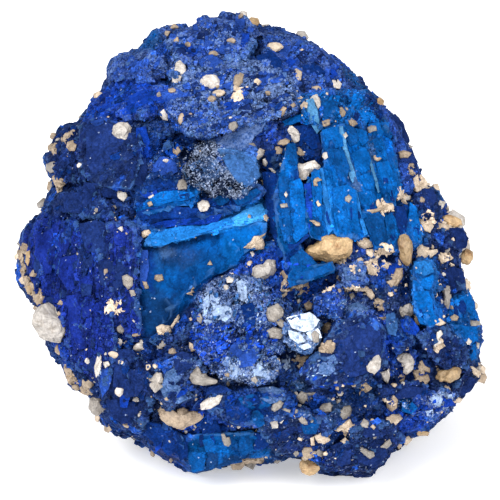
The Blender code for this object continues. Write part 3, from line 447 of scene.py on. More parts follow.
def thrown_ring(dice, x, y, turned, length, width, shape, longer, wider):
    """A shape about a point of the drawing, turned by degrees, each corner in or out by chance."""
    cos, sin = math.cos(math.radians(turned)), math.sin(math.radians(turned))
    ring = []
    for along, aside in shape:
        u, v = along * length * dice.uniform(*longer), aside * width * dice.uniform(*wider)
        ring.append((x + u * cos - v * sin, y - u * sin - v * cos))
    return ring


def add_steps(bm, name, lift, turn_right, turn_up, _flare, corners):
    """Thin cleavage steps on a crystal's front, lying along its grain."""
    dice = random.Random("steps " + name)
    plane = crystal_plane(corners, lift, turn_right, turn_up)
    _tint, grain, stretch, *_rest = HABITS[name]
    cos, sin = math.cos(math.radians(grain)), math.sin(math.radians(grain))
    low, high = np.min(corners, axis=0), np.max(corners, axis=0)
    for _ in range(int((high - low).prod() / STEP_AREA)):
        x, y = dice.uniform(low[0], high[0]), dice.uniform(low[1], high[1])
        length, width = dice.uniform(4.0, 11.0) * stretch**0.8, dice.uniform(3.5, 8.5) / stretch**0.25
        ring = thrown_ring(dice, x, y, grain, length, width, STEP, (0.8, 1.1), (0.8, 1.1))
        rise, lean = dice.uniform(0.6, 3.2), dice.uniform(-0.16, 0.16)
        if inside_by(corners, *np.array(ring).T).min() > -1.5:
            heights = [plane(*p) + rise + lean * ((p[0] - x) * sin + (y - p[1]) * cos) for p in ring]
            front = [place(*p, h) for p, h in zip(ring, heights)]
            back = [place(*p, h - STEP_ROOT) for p, h in zip(ring, heights)]
            add_prism(bm, front, back)


def add_block(bm, dice, where, normal, size, lift, root):
    """A rough crystal anywhere on the stone: an uneven prism set along a tilted normal."""
    tilt = Vector((dice.uniform(-1, 1), dice.uniform(-1, 1), dice.uniform(-1, 1)))
    axis = (normal + tilt * 0.20).normalized()
    turn = axis.to_track_quat("Z", "Y").to_matrix() @ Matrix.Rotation(dice.uniform(0, math.tau), 3, "Z")
    count = dice.choice((5, 6, 7))
    stretch = dice.uniform(1.0, 1.7)
    near, far = [], []
    for i in range(count):
        angle = (i + dice.uniform(-0.25, 0.25)) / count * math.tau
        reach = size * dice.uniform(0.8, 1.1)
        flat = Vector((math.cos(angle) * reach * stretch, math.sin(angle) * reach, 0.0))
        near.append(where + turn @ (flat * 0.85) + axis * lift)
        far.append(where + turn @ flat - axis * root)
    add_prism(bm, near, far)


WHOLE = [corners for name, *_rest, corners in CRYSTALS if name in WHOLE_FACES]


def on_whole_face(points):
    """Whether the eye sees these points on crystals whose faces are whole."""
    x, y, _depth = drawn(points)
    return np.any([inside_by(corners, x, y) > 0.0 for corners in WHOLE], axis=0)


# The unnamed crystals: how many, how large and how far out they stand, in drawing units. Large ones lie
# round the sides and back, small ones in every gap, and fine ones on the sides and back again.
LARGE_BLOCKS, LARGE_SIZES, LARGE_LIFTS = 300, (24.0, 52.0), (-14.0, 13.0)
SMALL_BLOCKS, SMALL_SIZES, SMALL_LIFTS = 300, (8.0, 17.0), (-13.0, -2.0)
FINE_BLOCKS, FINE_SIZES, FINE_LIFTS = 1500, (5.0, 14.0), (-6.0, 9.0)
SIDE_FACING = 0.15  # what faces the eye less than this is side or back


def add_rough_blocks(bm):
    """The unnamed crystals: large ones round the sides and back, small ones in every gap."""
    dice = random.Random(41)
    form = body_mesh(4, 0.0)
    weights = [face.calc_area() for face in form.faces]
    places = [(face.calc_center_median(), face.normal.copy()) for face in form.faces]
    form.free()
    towards = Vector(TOWARDS)
    for where, normal in dice.choices(places, weights, k=LARGE_BLOCKS):
        facing = normal.dot(towards)
        size = dice.uniform(*LARGE_SIZES) * UNIT
        lift = dice.uniform(*LARGE_LIFTS) * UNIT
        if facing < SIDE_FACING:
            side = 14.0 * UNIT * max(0.0, 1.0 + facing * 2.0)
            add_block(bm, dice, where, normal, size, lift - side, size)
    for where, normal in dice.choices(places, weights, k=SMALL_BLOCKS):
        size = dice.uniform(*SMALL_SIZES) * UNIT
        lift = dice.uniform(*SMALL_LIFTS) * UNIT
        if normal.dot(towards) < SIDE_FACING or not on_whole_face(np.array(where)):
            add_block(bm, dice, where, normal, size, lift, size + 8.0 * UNIT)
    dice = random.Random(97)
    for where, normal in dice.choices(places, weights, k=FINE_BLOCKS):
        size = dice.uniform(*FINE_SIZES) * UNIT
        lift = dice.uniform(*FINE_LIFTS) * UNIT
        if normal.dot(towards) < 0.1:
            add_block(bm, dice, where, normal, size, lift, size + 12.0 * UNIT)


def hashed(cells, salt):
    """A repeatable number from 0 to 1 for each whole-numbered cell."""
    x, y, z = cells[..., 0], cells[..., 1], cells[..., 2]
    mixed = (x * 73856093) ^ (y * 19349663) ^ (z * 83492791) ^ (salt * 2654435761)
    mixed = ((mixed >> 13) ^ mixed) * 1274126177
    return (((mixed >> 16) ^ mixed) & 0xFFFFFF) / float(0xFFFFFF)


def fracture_cells(points, size):
    """The broken cell each point lies in: the way from its centre, and its whole-numbered name."""
    scaled = points / size
    base = np.floor(scaled).astype(np.int64)
    best = np.full(len(points), 1e9)
    way = np.zeros_like(scaled)
    owner = np.zeros_like(base)
    for shift in np.ndindex(3, 3, 3):
        cell = base + np.array(shift) - 1
        centre = cell + np.stack([0.1 + 0.8 * hashed(cell, salt) for salt in (1, 2, 3)], axis=-1)
        rel = scaled - centre
        far = np.einsum("ij,ij->i", rel, rel)
        closer = far < best
        way[closer], owner[closer], best[closer] = rel[closer], cell[closer], far[closer]
    return way, owner


def chips(points, size, slope, step):
    """How far flat chips of this size stand out of the surface, each tilted its own way, in metres."""
    way, owner = fracture_cells(points, size)
    tilt = np.stack([hashed(owner, salt) - 0.5 for salt in (5, 6, 7)], axis=-1)
    return np.einsum("ij,ij->i", way, tilt) * slope * size + (hashed(owner, 8) - 0.5) * step


def crystal_of(points, reach=60.0):
    """Which crystal of the show face each point belongs to, or -1."""
    x, y, depth = drawn(points)
    owner = np.full(len(points), -1)
    nearest = np.full(len(points), reach)
    for index, (_name, lift, turn_right, turn_up, _flare, corners) in enumerate(CRYSTALS):
        (low_x, low_y), (high_x, high_y) = np.min(corners, axis=0) - 2.5, np.max(corners, axis=0) + 2.5
        near = np.flatnonzero((x > low_x) & (x < high_x) & (y > low_y) & (y < high_y))
        within = inside_by(corners, x[near], y[near])
        off = np.abs(depth[near] - crystal_plane(corners, lift, turn_right, turn_up)(x[near], y[near]))
        off = off + np.maximum(0.0, -within) * 4.0
        chosen = (within > -2.0) & (off < nearest[near])
        owner[near[chosen]] = index
        nearest[near[chosen]] = off[chosen]
    return owner


# The rim is drawn in to the outline: over how wide a band, how deep down, and this much inside it.
RIM_BAND = 4.0
RIM_DEPTH = 40.0
RIM_MARGIN = 2.6


def drawn_in(points):
    """The points themselves, or the nearest ones inside the outline as the eye sees them."""
    x, y, depth = drawn(points)
    across, up = x - MIDDLE[0], MIDDLE[1] - y
    out = np.hypot(across, up)
    rim = np.exp(-(((depth + LEAN * up) / RIM_DEPTH) ** 2))
    sharp = reach_at(across, up, SHARP)
    soft = np.minimum(reach_at(across, up, SMOOTH) * 0.975, sharp + 5.0)
    limit = sharp * rim + soft * (1.0 - rim) - RIM_BAND - RIM_MARGIN
    over = limit + RIM_BAND * (1.0 - np.exp(np.minimum(limit - out, 0.0) / RIM_BAND))
    share = np.where(out > limit, over / np.maximum(out, 1e-6), 1.0)
    return place(MIDDLE[0] + across * share, MIDDLE[1] - up * share, depth)


def habit(owner, column):
    """One column of HABITS for each point, by the crystal that the point belongs to."""
    return np.array([row[column] for row in HABIT_ROWS])[owner]


def grained(points, owner):
    """The points stretched along each crystal's grain, so that its chips come out long."""
    grain = np.radians(habit(owner, 1))
    along = np.cos(grain)[:, None] * RIGHT + np.sin(grain)[:, None] * UP
    share = np.einsum("ij,ij->i", points, along) * (1.0 / habit(owner, 2) - 1.0)
    return points + along * share[:, None]


def read_points(mesh, kind="co"):
    """Where a mesh's vertices are, or the way each of them faces."""
    points = np.empty(len(mesh.vertices) * 3, np.float32)
    mesh.vertices.foreach_get(kind, points)
    return points.reshape(-1, 3).astype(float)


def read_normals(mesh):
    """The way each vertex of a mesh faces."""
    return read_points(mesh, "normal")


def write_points(mesh, points):
    """Moves a mesh's vertices to these places."""
    mesh.vertices.foreach_set("co", points.astype(np.float32).ravel())
    mesh.update()


PRESSED = 0.03  # the share of what hangs below the floor that is left


def stand_on_floor(mesh):
    """What hangs below the face the specimen stands on is pressed almost level with it."""
    points = read_points(mesh)
    points[:, 2] = np.where(points[:, 2] < 0.0, points[:, 2] * PRESSED, points[:, 2])
    write_points(mesh, points)


def shown(mesh):
    """The mesh as an object of the scene, at the origin and of the same name."""
    obj = bpy.data.objects.new(mesh.name, mesh)
    bpy.context.scene.collection.objects.link(obj)
    return obj


def new_object(name, bm):
    """The bmesh as an object of the scene."""
    mesh = bpy.data.meshes.new(name)
    bm.to_mesh(mesh)
    bm.free()
    return shown(mesh)


def settle(obj):
    """Turns the object's modifiers into plain geometry."""
    graph = bpy.context.evaluated_depsgraph_get()
    mesh = bpy.data.meshes.new_from_object(obj.evaluated_get(graph))
    obj.modifiers.clear()
    old = obj.data
    obj.data = mesh
    bpy.data.meshes.remove(old)


VOXEL = 0.00013  # how finely the core and its crystals are grown together


def grow_azurite():
    """Core, crystals, steps and blocks grown into one mass."""
    bm = body_mesh(6, CORE_SINK)
    for crystal in CRYSTALS:
        add_crystal(bm, *crystal)
        add_steps(bm, *crystal)
    add_rough_blocks(bm)
    mass = new_object("azurite", bm)
    grown = mass.modifiers.new("grown_together", "REMESH")
    grown.mode = "VOXEL"
    grown.voxel_size = VOXEL
    settle(mass)
    return mass


# Chips of four sizes: how wide they are, how steeply they tilt, and how far they step out.
WIDEST_CHIPS = (0.0026, 0.16, 0.00030)
WIDE_CHIPS = (0.00125, 0.34, 0.00016)
SMALL_CHIPS = (0.00062, 0.40, 0.00009)
SMALLEST_CHIPS = (0.00030, 0.45, 0.00005)
BLOCKY = 0.5  # crystals that broke at least this coarsely have no whole faces


def break_surface(mass):
    """Chips of four sizes over the whole surface, coarse or fine as each crystal breaks."""
    write_points(mass.data, drawn_in(read_points(mass.data)))
    points, normals = read_points(mass.data), read_normals(mass.data)
    owner = crystal_of(points)
    coarse, fine = habit(owner, 3), habit(owner, 4)
    long = grained(points, owner)
    out = chips(points, *WIDEST_CHIPS) * np.where(coarse < BLOCKY, 0.25, 1.0)
    out += chips(long, *WIDE_CHIPS) * coarse
    out += chips(long + 0.37, *SMALL_CHIPS) * np.maximum(coarse, fine * 0.6)
    out += chips(long + 0.71, *SMALLEST_CHIPS) * fine
    write_points(mass.data, points + normals * out[:, None])


def cut_base(mass):
    """Cuts the stone off flat where it rests."""
    bm = bmesh.new()
    bm.from_mesh(mass.data)
    everything = bm.verts[:] + bm.edges[:] + bm.faces[:]
    down = (0, 0, -1)
    cut = bmesh.ops.bisect_plane(bm, geom=everything, plane_co=(0, 0, 0), plane_no=down, clear_outer=True)
    rim = [edge for edge in cut["geom_cut"] if isinstance(edge, bmesh.types.BMEdge)]
    bmesh.ops.triangle_fill(bm, use_beauty=True, edges=rim, normal=down)
    bmesh.ops.recalc_face_normals(bm, faces=bm.faces)
    bm.to_mesh(mass.data)
    bm.free()


def linear(code):
    """An sRGB hex colour as a linear RGBA tuple."""
    shares = [int(code[i:i + 2], 16) / 255.0 for i in (1, 3, 5)]
    return tuple(c / 12.92 if c <= 0.04045 else ((c + 0.055) / 1.055) ** 2.4 for c in shares) + (1.0,)


def blue_of(tint):
    """One of the blues as linear numbers."""
    return np.array(linear(TINTS[tint])[:3])


def smoothed(mesh, values, rounds):
    """The values averaged over each vertex's neighbours, this many times."""
    ends = np.empty(len(mesh.edges) * 2, np.int32)
    mesh.edges.foreach_get("vertices", ends)
    near, far = ends.reshape(-1, 2).T
    count = np.bincount(near, minlength=len(values)) + np.bincount(far, minlength=len(values))
    count = np.maximum(count, 1)[:, None]
    values = values.reshape(len(count), -1).astype(float)
    for _ in range(rounds):
        total = np.zeros_like(values)
        for column in range(values.shape[1]):
            total[:, column] = np.bincount(near, values[far, column], len(count))
            total[:, column] += np.bincount(far, values[near, column], len(count))
        values = 0.5 * values + 0.5 * total / count
    return values


def hollowness(mesh, points, normals, rounds, scale):
    """How deep each vertex lies below its surroundings: above 0 in clefts, below 0 on edges."""
    lift = np.einsum("ij,ij->i", smoothed(mesh, points, rounds) - points, normals)
    return np.clip(lift / scale, -1.0, 1.0)


def write_attribute(mesh, name, values):
    """Per-vertex numbers, or linear colours, that the material reads."""
    kind, key = ("FLOAT_COLOR", "color") if values.ndim == 2 else ("FLOAT", "value")
    layer = mesh.attributes.new(name, kind, "POINT")
    if values.ndim == 2:
        values = np.column_stack((values, np.ones(len(values))))
    layer.data.foreach_set(key, values.astype(np.float32).ravel())


def write_streaks(mesh, points, owner):
    """Where the material's streaks and cracks are read: places stretched twice along the grain."""
    layer = mesh.attributes.new("streaks", "FLOAT_VECTOR", "POINT")
    stretched = grained(grained(points, owner), owner)
    layer.data.foreach_set("vector", stretched.astype(np.float32).ravel())


def ellipse(x, y, middle_x, middle_y, half_width, half_height):
    """How far points lie from the middle of an ellipse on the drawing: 1 on its rim, by squares."""
    return ((x - middle_x) / half_width) ** 2 + ((y - middle_y) / half_height) ** 2


# Where fine sand is thickest on the show face: middle, half width and half height on the drawing.
GRITTY = (
    (350, 418, 66, 40), (396, 262, 40, 30), (436, 330, 30, 24), (290, 446, 44, 24), (122, 346, 34, 26),
    (326, 110, 44, 26), (84, 330, 16, 40), (30, 270, 12, 50), (416, 176, 24, 34), (240, 86, 34, 16),
    (210, 384, 60, 16), (366, 290, 44, 14), (286, 152, 30, 20), (450, 400, 30, 20), (60, 140, 16, 30),
    (420, 230, 34, 16),
)


# What no crystal of the show face covers is navy, and by patches one of these: from and to which share.
AWAY_BLUES = ((0.0, 0.30, "deep"), (0.30, 0.36, "azure"), (0.42, 0.55, "dusty"), (0.90, 1.0, "vivid"))
CHIP_CELL = 0.0011  # metres across the chips that differ in tone
PATCH_CELL = 0.0036  # and across the patches that differ in blue, crumbs and sand
CLEFT_DEPTH = 0.00016  # metres that a full cleft lies below its surroundings
EDGE_HEIGHT = 0.00005  # and that a sharp edge stands over them
SHOW_DEPTH = 30.0  # drawing units of depth over which the side turns into the show face
BARE_FOOT = 0.0004  # metres at the foot where nothing is grown or held
UPPER_SIDE, UPPER_SHARE = 165.0, 0.22  # above this on the drawing, this little sand is left


def paint_azurite(mass):
    """What the material and the strewn grains read, chip by chip: blue, powder, how many painted glints,
    the clefts it paints dark as shade and the edges it paints paler, and sand.
    """
    mesh = mass.data
    points, normals = read_points(mesh), read_normals(mesh)
    owner = crystal_of(points)
    fine, powder, glassy, crumbly = (habit(owner, column) for column in (4, 5, 6, 7))
    cell = fracture_cells(grained(points, owner), CHIP_CELL)[1]
    patch = fracture_cells(points, PATCH_CELL)[1]
    x, y, depth = drawn(points)

    # The blue of each crystal, with its stains, and on some chips the blue of a fresh break.
    blues = np.array([blue_of(row[0]) for row in HABIT_ROWS])[owner]
    share = hashed(patch, 21)
    for low, high, name in AWAY_BLUES:
        blues[(owner < 0) & (share >= low) & (share < high)] = blue_of(name)
    blues = smoothed(mesh, blues, 4)
    powder = powder * (0.6 + 0.8 * hashed(patch, 24))
    ragged = (hashed(cell, 26) - 0.5) * 0.9
    for *where, tint, pale, patch_glint_share in PATCHES:
        within = np.clip(3.0 - 3.0 * (ellipse(x, y, *where) + ragged), 0.0, 0.9) * (depth > 0.0)
        blues += (blue_of(tint) - blues) * within[:, None]
        powder += (pale - powder) * within
        glassy += (patch_glint_share - glassy) * within
    violet = np.array([row[0] == "violet" for row in HABIT_ROWS])[owner]
    fresh = np.clip(fine * 2.0 - 0.8, 0.0, 1.0) * (hashed(cell, 29) > 0.92) * np.where(violet, 0.15, 0.70)
    blues += (blue_of("fresh") - blues) * fresh[:, None]
    light = 0.62 + 0.78 * hashed(cell, 22)
    tilt = (hashed(cell, 23) - 0.5)[:, None] * np.array((0.2, 0.30, 0.15))
    write_attribute(mesh, "blue", np.clip(blues * (light[:, None] + tilt), 0.0, 1.0))
    write_attribute(mesh, "powder", smoothed(mesh, powder, 3)[:, 0])
    # How many specks the material paints as glints.
    write_attribute(mesh, "glassy", smoothed(mesh, glassy, 2)[:, 0])
    write_attribute(mesh, "grit", smoothed(mesh, fine, 3)[:, 0])
    # The clefts, which the material paints dark as shade, and the sharp edges, which it paints paler,
    # partly as wear and partly as a painted highlight.
    hollow = hollowness(mesh, points, normals, 12, CLEFT_DEPTH)
    write_attribute(mesh, "cleft", hollow)
    write_attribute(mesh, "edge", hollowness(mesh, points, normals, 3, EDGE_HEIGHT))
    write_streaks(mesh, points, owner)

    # Where crumbs and grit are grown on it, and where sand is held.
    across, up = x - MIDDLE[0], MIDDLE[1] - y
    show = np.clip((depth + LEAN * up) / SHOW_DEPTH, 0.0, 1.0)
    rim = np.hypot(across, up) / reach_at(across, up, SHARP)
    inner = np.clip((0.97 - rim) / 0.05, 0.0, 1.0)
    raised = np.clip((points[:, 2] - BARE_FOOT) / BARE_FOOT, 0.0, 1.0)
    crumbly = crumbly * (0.4 + 0.9 * (hashed(patch, 25) > 0.3)) * inner
    crumbly = np.maximum(crumbly, 0.9 * np.clip((hollow - 0.25) / 0.3, 0.0, 1.0) * show * inner)
    write_attribute(mesh, "crumbly", crumbly * raised)
    grainy = np.clip(fine * 1.6 - 0.5, 0.0, 1.0) * (hashed(cell, 28) > 0.3) * show * (rim < 0.95) * raised
    write_attribute(mesh, "grainy", grainy)
    upper = np.where(y < UPPER_SIDE, UPPER_SHARE, 1.0)
    write_attribute(mesh, "sandy_sides", (1.0 - show) * (0.3 + 1.4 * (share > 0.55)) * raised * upper)
    gritty = np.zeros(len(points))
    for where in GRITTY:
        gritty = np.maximum(gritty, np.clip(1.6 - 1.6 * ellipse(x, y, *where), 0.0, 1.0))
    gritty *= hashed(cell, 27) > 0.45
    sandy = np.maximum((crumbly >= 0.3) * (share > 0.7), gritty)
    write_attribute(mesh, "sandy_front", show * sandy * raised)
    mesh.shade_flat()


def node(tree, kind, **given):
    """One node: small names set its properties, others its inputs, to a node, a socket or a constant."""
    made = tree.nodes.new(kind if "Node" in kind else "ShaderNode" + kind)
    for key, value in given.items():
        if key.islower() and not key[1:].isdigit():
            setattr(made, key, value)
            continue
        socket = made.inputs[int(key[1:]) if key[1:].isdigit() else key.replace("_", " ").strip()]
        value = value.outputs[0] if isinstance(value, bpy.types.Node) else value
        if isinstance(value, bpy.types.NodeSocket):
            tree.links.new(value, socket)
        else:
            socket.default_value = value
    return made


def new_material(name):
    """An empty material and its node tree."""
    made = bpy.data.materials.new(name)
    made.use_nodes = True
    made.node_tree.nodes.clear()
    return made, made.node_tree


# How many of each pattern there are to a metre. One cloud is 1.1 mm across; a streak, a facet and a joint
# are about 0.3 mm, and a crack runs every 2 mm. The grain of the fracture, specks, flour and painted glints
# are finer in the real stone; they are drawn 0.1 to 0.15 mm across, so that they show.
CLOUDS = 900.0
STREAKS = 2600.0
FRACTURE = 6500.0
SPECKS = 7500.0
CRACKS, CRACK_BENDS = 560.0, 1800.0
JOINTS, JOINT_BENDS = 3600.0, 5200.0
FLOUR = 9500.0
PAINTED_GLINTS = 11500.0
FACETS = 2600.0

# What shows in hairline cracks, in joints and as powder; the painted shade in clefts; broken edges, painted
# paler as wear and as a highlight; and the painted glint.
CRACK_BLACK, JOINT_BLACK, CLEFT_PAINTED_SHADE = "#020818", "#030c28", "#020826"
POWDER_BLUE, EDGE_WEAR_AND_HIGHLIGHT, PAINTED_GLINT_WHITE = "#6078a8", "#5585c0", "#95a3bf"


def azurite_material():
    """Azurite, a copper carbonate: deep blue and vitreous where clean, paler and dull where powdery; clefts
    painted as shade, broken edges painted paler as wear and highlight, and painted glints.
    """
    made, tree = new_material("azurite")
    where = node(tree, "TexCoord").outputs["Object"]
    along = node(tree, "Attribute", attribute_name="streaks").outputs["Vector"]
    blue = node(tree, "Attribute", attribute_name="blue").outputs["Color"]
    powder, glassy, grit, cleft, edge = (
        node(tree, "Attribute", attribute_name=name).outputs["Fac"]
        for name in ("powder", "glassy", "grit", "cleft", "edge")
    )

    # Cloudy patches a millimetre across, streaks along the grain, and crystal specks a tenth of that.
    cloud = node(tree, "TexNoise", Vector=where, Scale=CLOUDS, Detail=4.0, Roughness=0.6).outputs["Fac"]
    streak = node(tree, "TexNoise", Vector=along, Scale=STREAKS, Detail=3.0, Roughness=0.6).outputs["Fac"]
    grain = node(tree, "TexNoise", Vector=where, Scale=FRACTURE, Detail=3.0, Roughness=0.7).outputs["Fac"]
    speck = node(tree, "TexVoronoi", Vector=where, Scale=SPECKS)
    shade = node(tree, "MapRange", Value=cloud, From_Min=0.3, From_Max=0.7, To_Min=0.66, To_Max=1.34)
    lined = node(tree, "MapRange", Value=streak, From_Min=0.3, From_Max=0.7, To_Min=0.72, To_Max=1.28)
    tone = node(tree, "Math", operation="MULTIPLY", i0=shade, i1=lined)

    # Each crystal speck has its own tone, the more so where the stone broke finely.
    own = node(tree, "SeparateColor", Color=speck.outputs["Color"]).outputs["Green"]
    own = node(tree, "Math", operation="SUBTRACT", i0=own, i1=0.5)
    own = node(tree, "Math", operation="MULTIPLY", i0=own, i1=grit)
    own = node(tree, "Math", operation="MULTIPLY_ADD", i0=own, i1=1.5, i2=1.18)
    tone = node(tree, "Math", operation="MULTIPLY", i0=tone, i1=own)
    shaded = node(tree, "VectorMath", operation="SCALE", i0=blue, Scale=tone)

    # Hairline cracks run along the grain.
    wander = node(tree, "TexNoise", Vector=where, Scale=CRACK_BENDS, Detail=3.0).outputs["Color"]
    wander = node(tree, "VectorMath", operation="SCALE", i0=wander, Scale=0.0009)
    wander = node(tree, "VectorMath", operation="ADD", i0=wander, i1=along)
    crack = node(tree, "TexVoronoi", feature="DISTANCE_TO_EDGE", Vector=wander, Scale=CRACKS)
    line = node(tree, "MapRange", Value=crack, From_Min=0.0, From_Max=0.03, To_Min=0.42, To_Max=0.0)
    cracked = node(tree, "Mix", data_type="RGBA", i0=line, i6=shaded, i7=linear(CRACK_BLACK)).outputs[2]

    # Where the stone broke grainy, dark joints part grain from grain.
    bent = node(tree, "TexNoise", Vector=where, Scale=JOINT_BENDS, Detail=2.0).outputs["Color"]
    bent = node(tree, "VectorMath", operation="SCALE", i0=bent, Scale=0.00022)
    bent = node(tree, "VectorMath", operation="ADD", i0=bent, i1=where)
    joint = node(tree, "TexVoronoi", feature="DISTANCE_TO_EDGE", Vector=bent, Scale=JOINTS)
    gap = node(tree, "MapRange", Value=joint, From_Min=0.02, From_Max=0.13, To_Min=0.80, To_Max=0.0)
    gap = node(tree, "Math", operation="MULTIPLY", i0=gap, i1=grit)
    broken = node(tree, "MapRange", Value=streak, From_Min=0.44, From_Max=0.56, To_Min=0.0, To_Max=1.0)
    gap = node(tree, "Math", operation="MULTIPLY", i0=gap, i1=broken)

    # Powder lies in a fine speckle, most on crystals that broke grainy.
    speckle = node(tree, "MapRange", Value=grain, From_Min=0.40, From_Max=0.64, To_Min=0.0, To_Max=1.25)
    clump = node(tree, "MapRange", Value=cloud, From_Min=0.35, From_Max=0.62, To_Min=0.35, To_Max=1.15)
    dusted = node(tree, "Math", operation="MULTIPLY", i0=speckle, i1=powder)
    flour = node(tree, "TexVoronoi", Vector=where, Scale=FLOUR).outputs["Color"]
    flour = node(tree, "SeparateColor", Color=flour).outputs["Blue"]
    spread = node(tree, "Math", operation="MULTIPLY_ADD", i0=powder, i1=-0.8, i2=1.02)
    flour = node(tree, "Math", operation="GREATER_THAN", i0=flour, i1=spread)
    much = node(tree, "MapRange", Value=powder, From_Min=0.12, From_Max=0.7, To_Min=0.0, To_Max=0.62)
    flour = node(tree, "Math", operation="MULTIPLY", i0=flour, i1=much)
    dusted = node(tree, "Math", operation="MULTIPLY_ADD", i0=dusted, i1=0.75, i2=flour)
    dusted = node(tree, "Math", operation="MULTIPLY", use_clamp=True, i0=dusted, i1=clump)
    dusty = node(tree, "Mix", data_type="RGBA", i0=dusted, i6=cracked, i7=linear(POWDER_BLUE)).outputs[2]
    dusty = node(tree, "Mix", data_type="RGBA", i0=gap, i6=dusty, i7=linear(JOINT_BLACK)).outputs[2]

    # Painted shade: clefts are painted dark. Broken edges are painted paler, partly as wear and partly as a
    # painted highlight.
    deep = node(tree, "MapRange", Value=cleft, From_Min=0.15, From_Max=0.9, To_Min=0.0, To_Max=0.75)
    darker = node(tree, "Mix", data_type="RGBA", i0=deep, i6=dusty, i7=linear(CLEFT_PAINTED_SHADE)).outputs[2]
    wear_and_highlight = node(tree, "MapRange", Value=edge, From_Min=-0.75, From_Max=-1.0, To_Min=0.0, To_Max=0.19)
    colour = node(tree, "Mix", data_type="RGBA", i0=wear_and_highlight, i6=darker, i7=linear(EDGE_WEAR_AND_HIGHLIGHT)).outputs[2]

    # Painted glints: single specks are painted near white as if they caught the light, on glassy crystals
    # most of them.
    glitter = node(tree, "TexVoronoi", Vector=where, Scale=PAINTED_GLINTS).outputs["Color"]
    lucky = node(tree, "SeparateColor", Color=glitter).outputs["Red"]
    patchy = node(tree, "MapRange", Value=cloud, From_Min=0.38, From_Max=0.62, To_Min=0.25, To_Max=1.4)
    chance = node(tree, "Math", operation="MULTIPLY", i0=glassy, i1=patchy)
    rare = node(tree, "Math", operation="MULTIPLY", i0=grit, i1=0.0075)
    chance = node(tree, "Math", operation="ADD", i0=chance, i1=rare)
    bright = node(tree, "MapRange", Value=lucky, From_Min=0.0, From_Max=chance, To_Min=0.75, To_Max=0.0)
    lit = node(tree, "Mix", data_type="RGBA", i0=bright, i6=colour, i7=linear(PAINTED_GLINT_WHITE)).outputs[2]

    # Each speck is a crystal facet that leans its own way.
    larger = node(tree, "TexVoronoi", Vector=where, Scale=FACETS).outputs["Color"]
    lean = node(tree, "VectorMath", operation="ADD", i0=speck.outputs["Color"], i1=larger)
    lean = node(tree, "VectorMath", operation="SUBTRACT", i0=lean, i1=(1.0, 1.0, 1.0))
    leaning = node(tree, "Math", operation="MULTIPLY", i0=grit, i1=0.95)
    lean = node(tree, "VectorMath", operation="SCALE", i0=lean, Scale=leaning)
    ridge = node(tree, "Bump", Strength=0.5, Distance=0.00004, Height=streak)
    fine = node(tree, "Bump", Strength=0.8, Distance=0.00007, Height=grain, Normal=ridge)
    facing = node(tree, "VectorMath", operation="ADD", i0=fine, i1=lean)
    facing = node(tree, "VectorMath", operation="NORMALIZE", i0=facing)
    rough = node(tree, "MapRange", Value=dusted, From_Min=0.0, From_Max=0.5, To_Min=0.42, To_Max=0.85)
    shader = node(tree, "BsdfPrincipled", Base_Color=lit, Roughness=rough,
                  Specular_IOR_Level=0.01, Normal=facing)
    node(tree, "OutputMaterial", Surface=shader)
    return made


MOST_TRIANGLES = 192000  # of the mass, once its smallest faces are joined

azurite = grow_azurite()
break_surface(azurite)
cut_base(azurite)
fewer = azurite.modifiers.new("fewer_faces", "DECIMATE")
triangles = sum(len(face.vertices) - 2 for face in azurite.data.polygons)
fewer.ratio = min(1.0, MOST_TRIANGLES / triangles)
fewer.use_collapse_triangulate = True
settle(azurite)
paint_azurite(azurite)
azurite.data.materials.clear()
azurite.data.materials.append(azurite_material())
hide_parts("azurite_mass")
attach(azurite, "root")


# ---------------------------------------------------------------------------------------------
# The cleavage plates: slabs, steps, seams and druse flakes of azurite that kept their sharp edges.
# Each grew on the mass or is what a break left of it, a tenth of a millimetre or so proud of it.
# ---------------------------------------------------------------------------------------------

def surface_of(*pieces):
    """What a line of sight meets first on these pieces."""
    points, faces = [], []
    for piece in pieces:
        faces += [tuple(len(points) + index for index in face.vertices) for face in piece.data.polygons]
        points += [vert.co for vert in piece.data.vertices]
    return BVHTree.FromPolygons(points, faces)


stone = surface_of(azurite)


FAR_OUT = 300.0  # drawing units, well in front of every crystal


def seen_surface(x, y):
    """How deep the stone lies where the eye meets it at a point of the drawing, or at the rim nearest."""
    eye = Vector(place(x, y, FAR_OUT))
    hit, _normal, _index, _distance = stone.ray_cast(eye, Vector(place(x, y, 0.0)) - eye)
    if hit is None:
        hit, _normal, _index, _distance = stone.find_nearest(Vector(place(x, y, -LEAN * (MIDDLE[1] - y))))
    _x, _y, depth = drawn(np.array(hit))
    return float(depth)


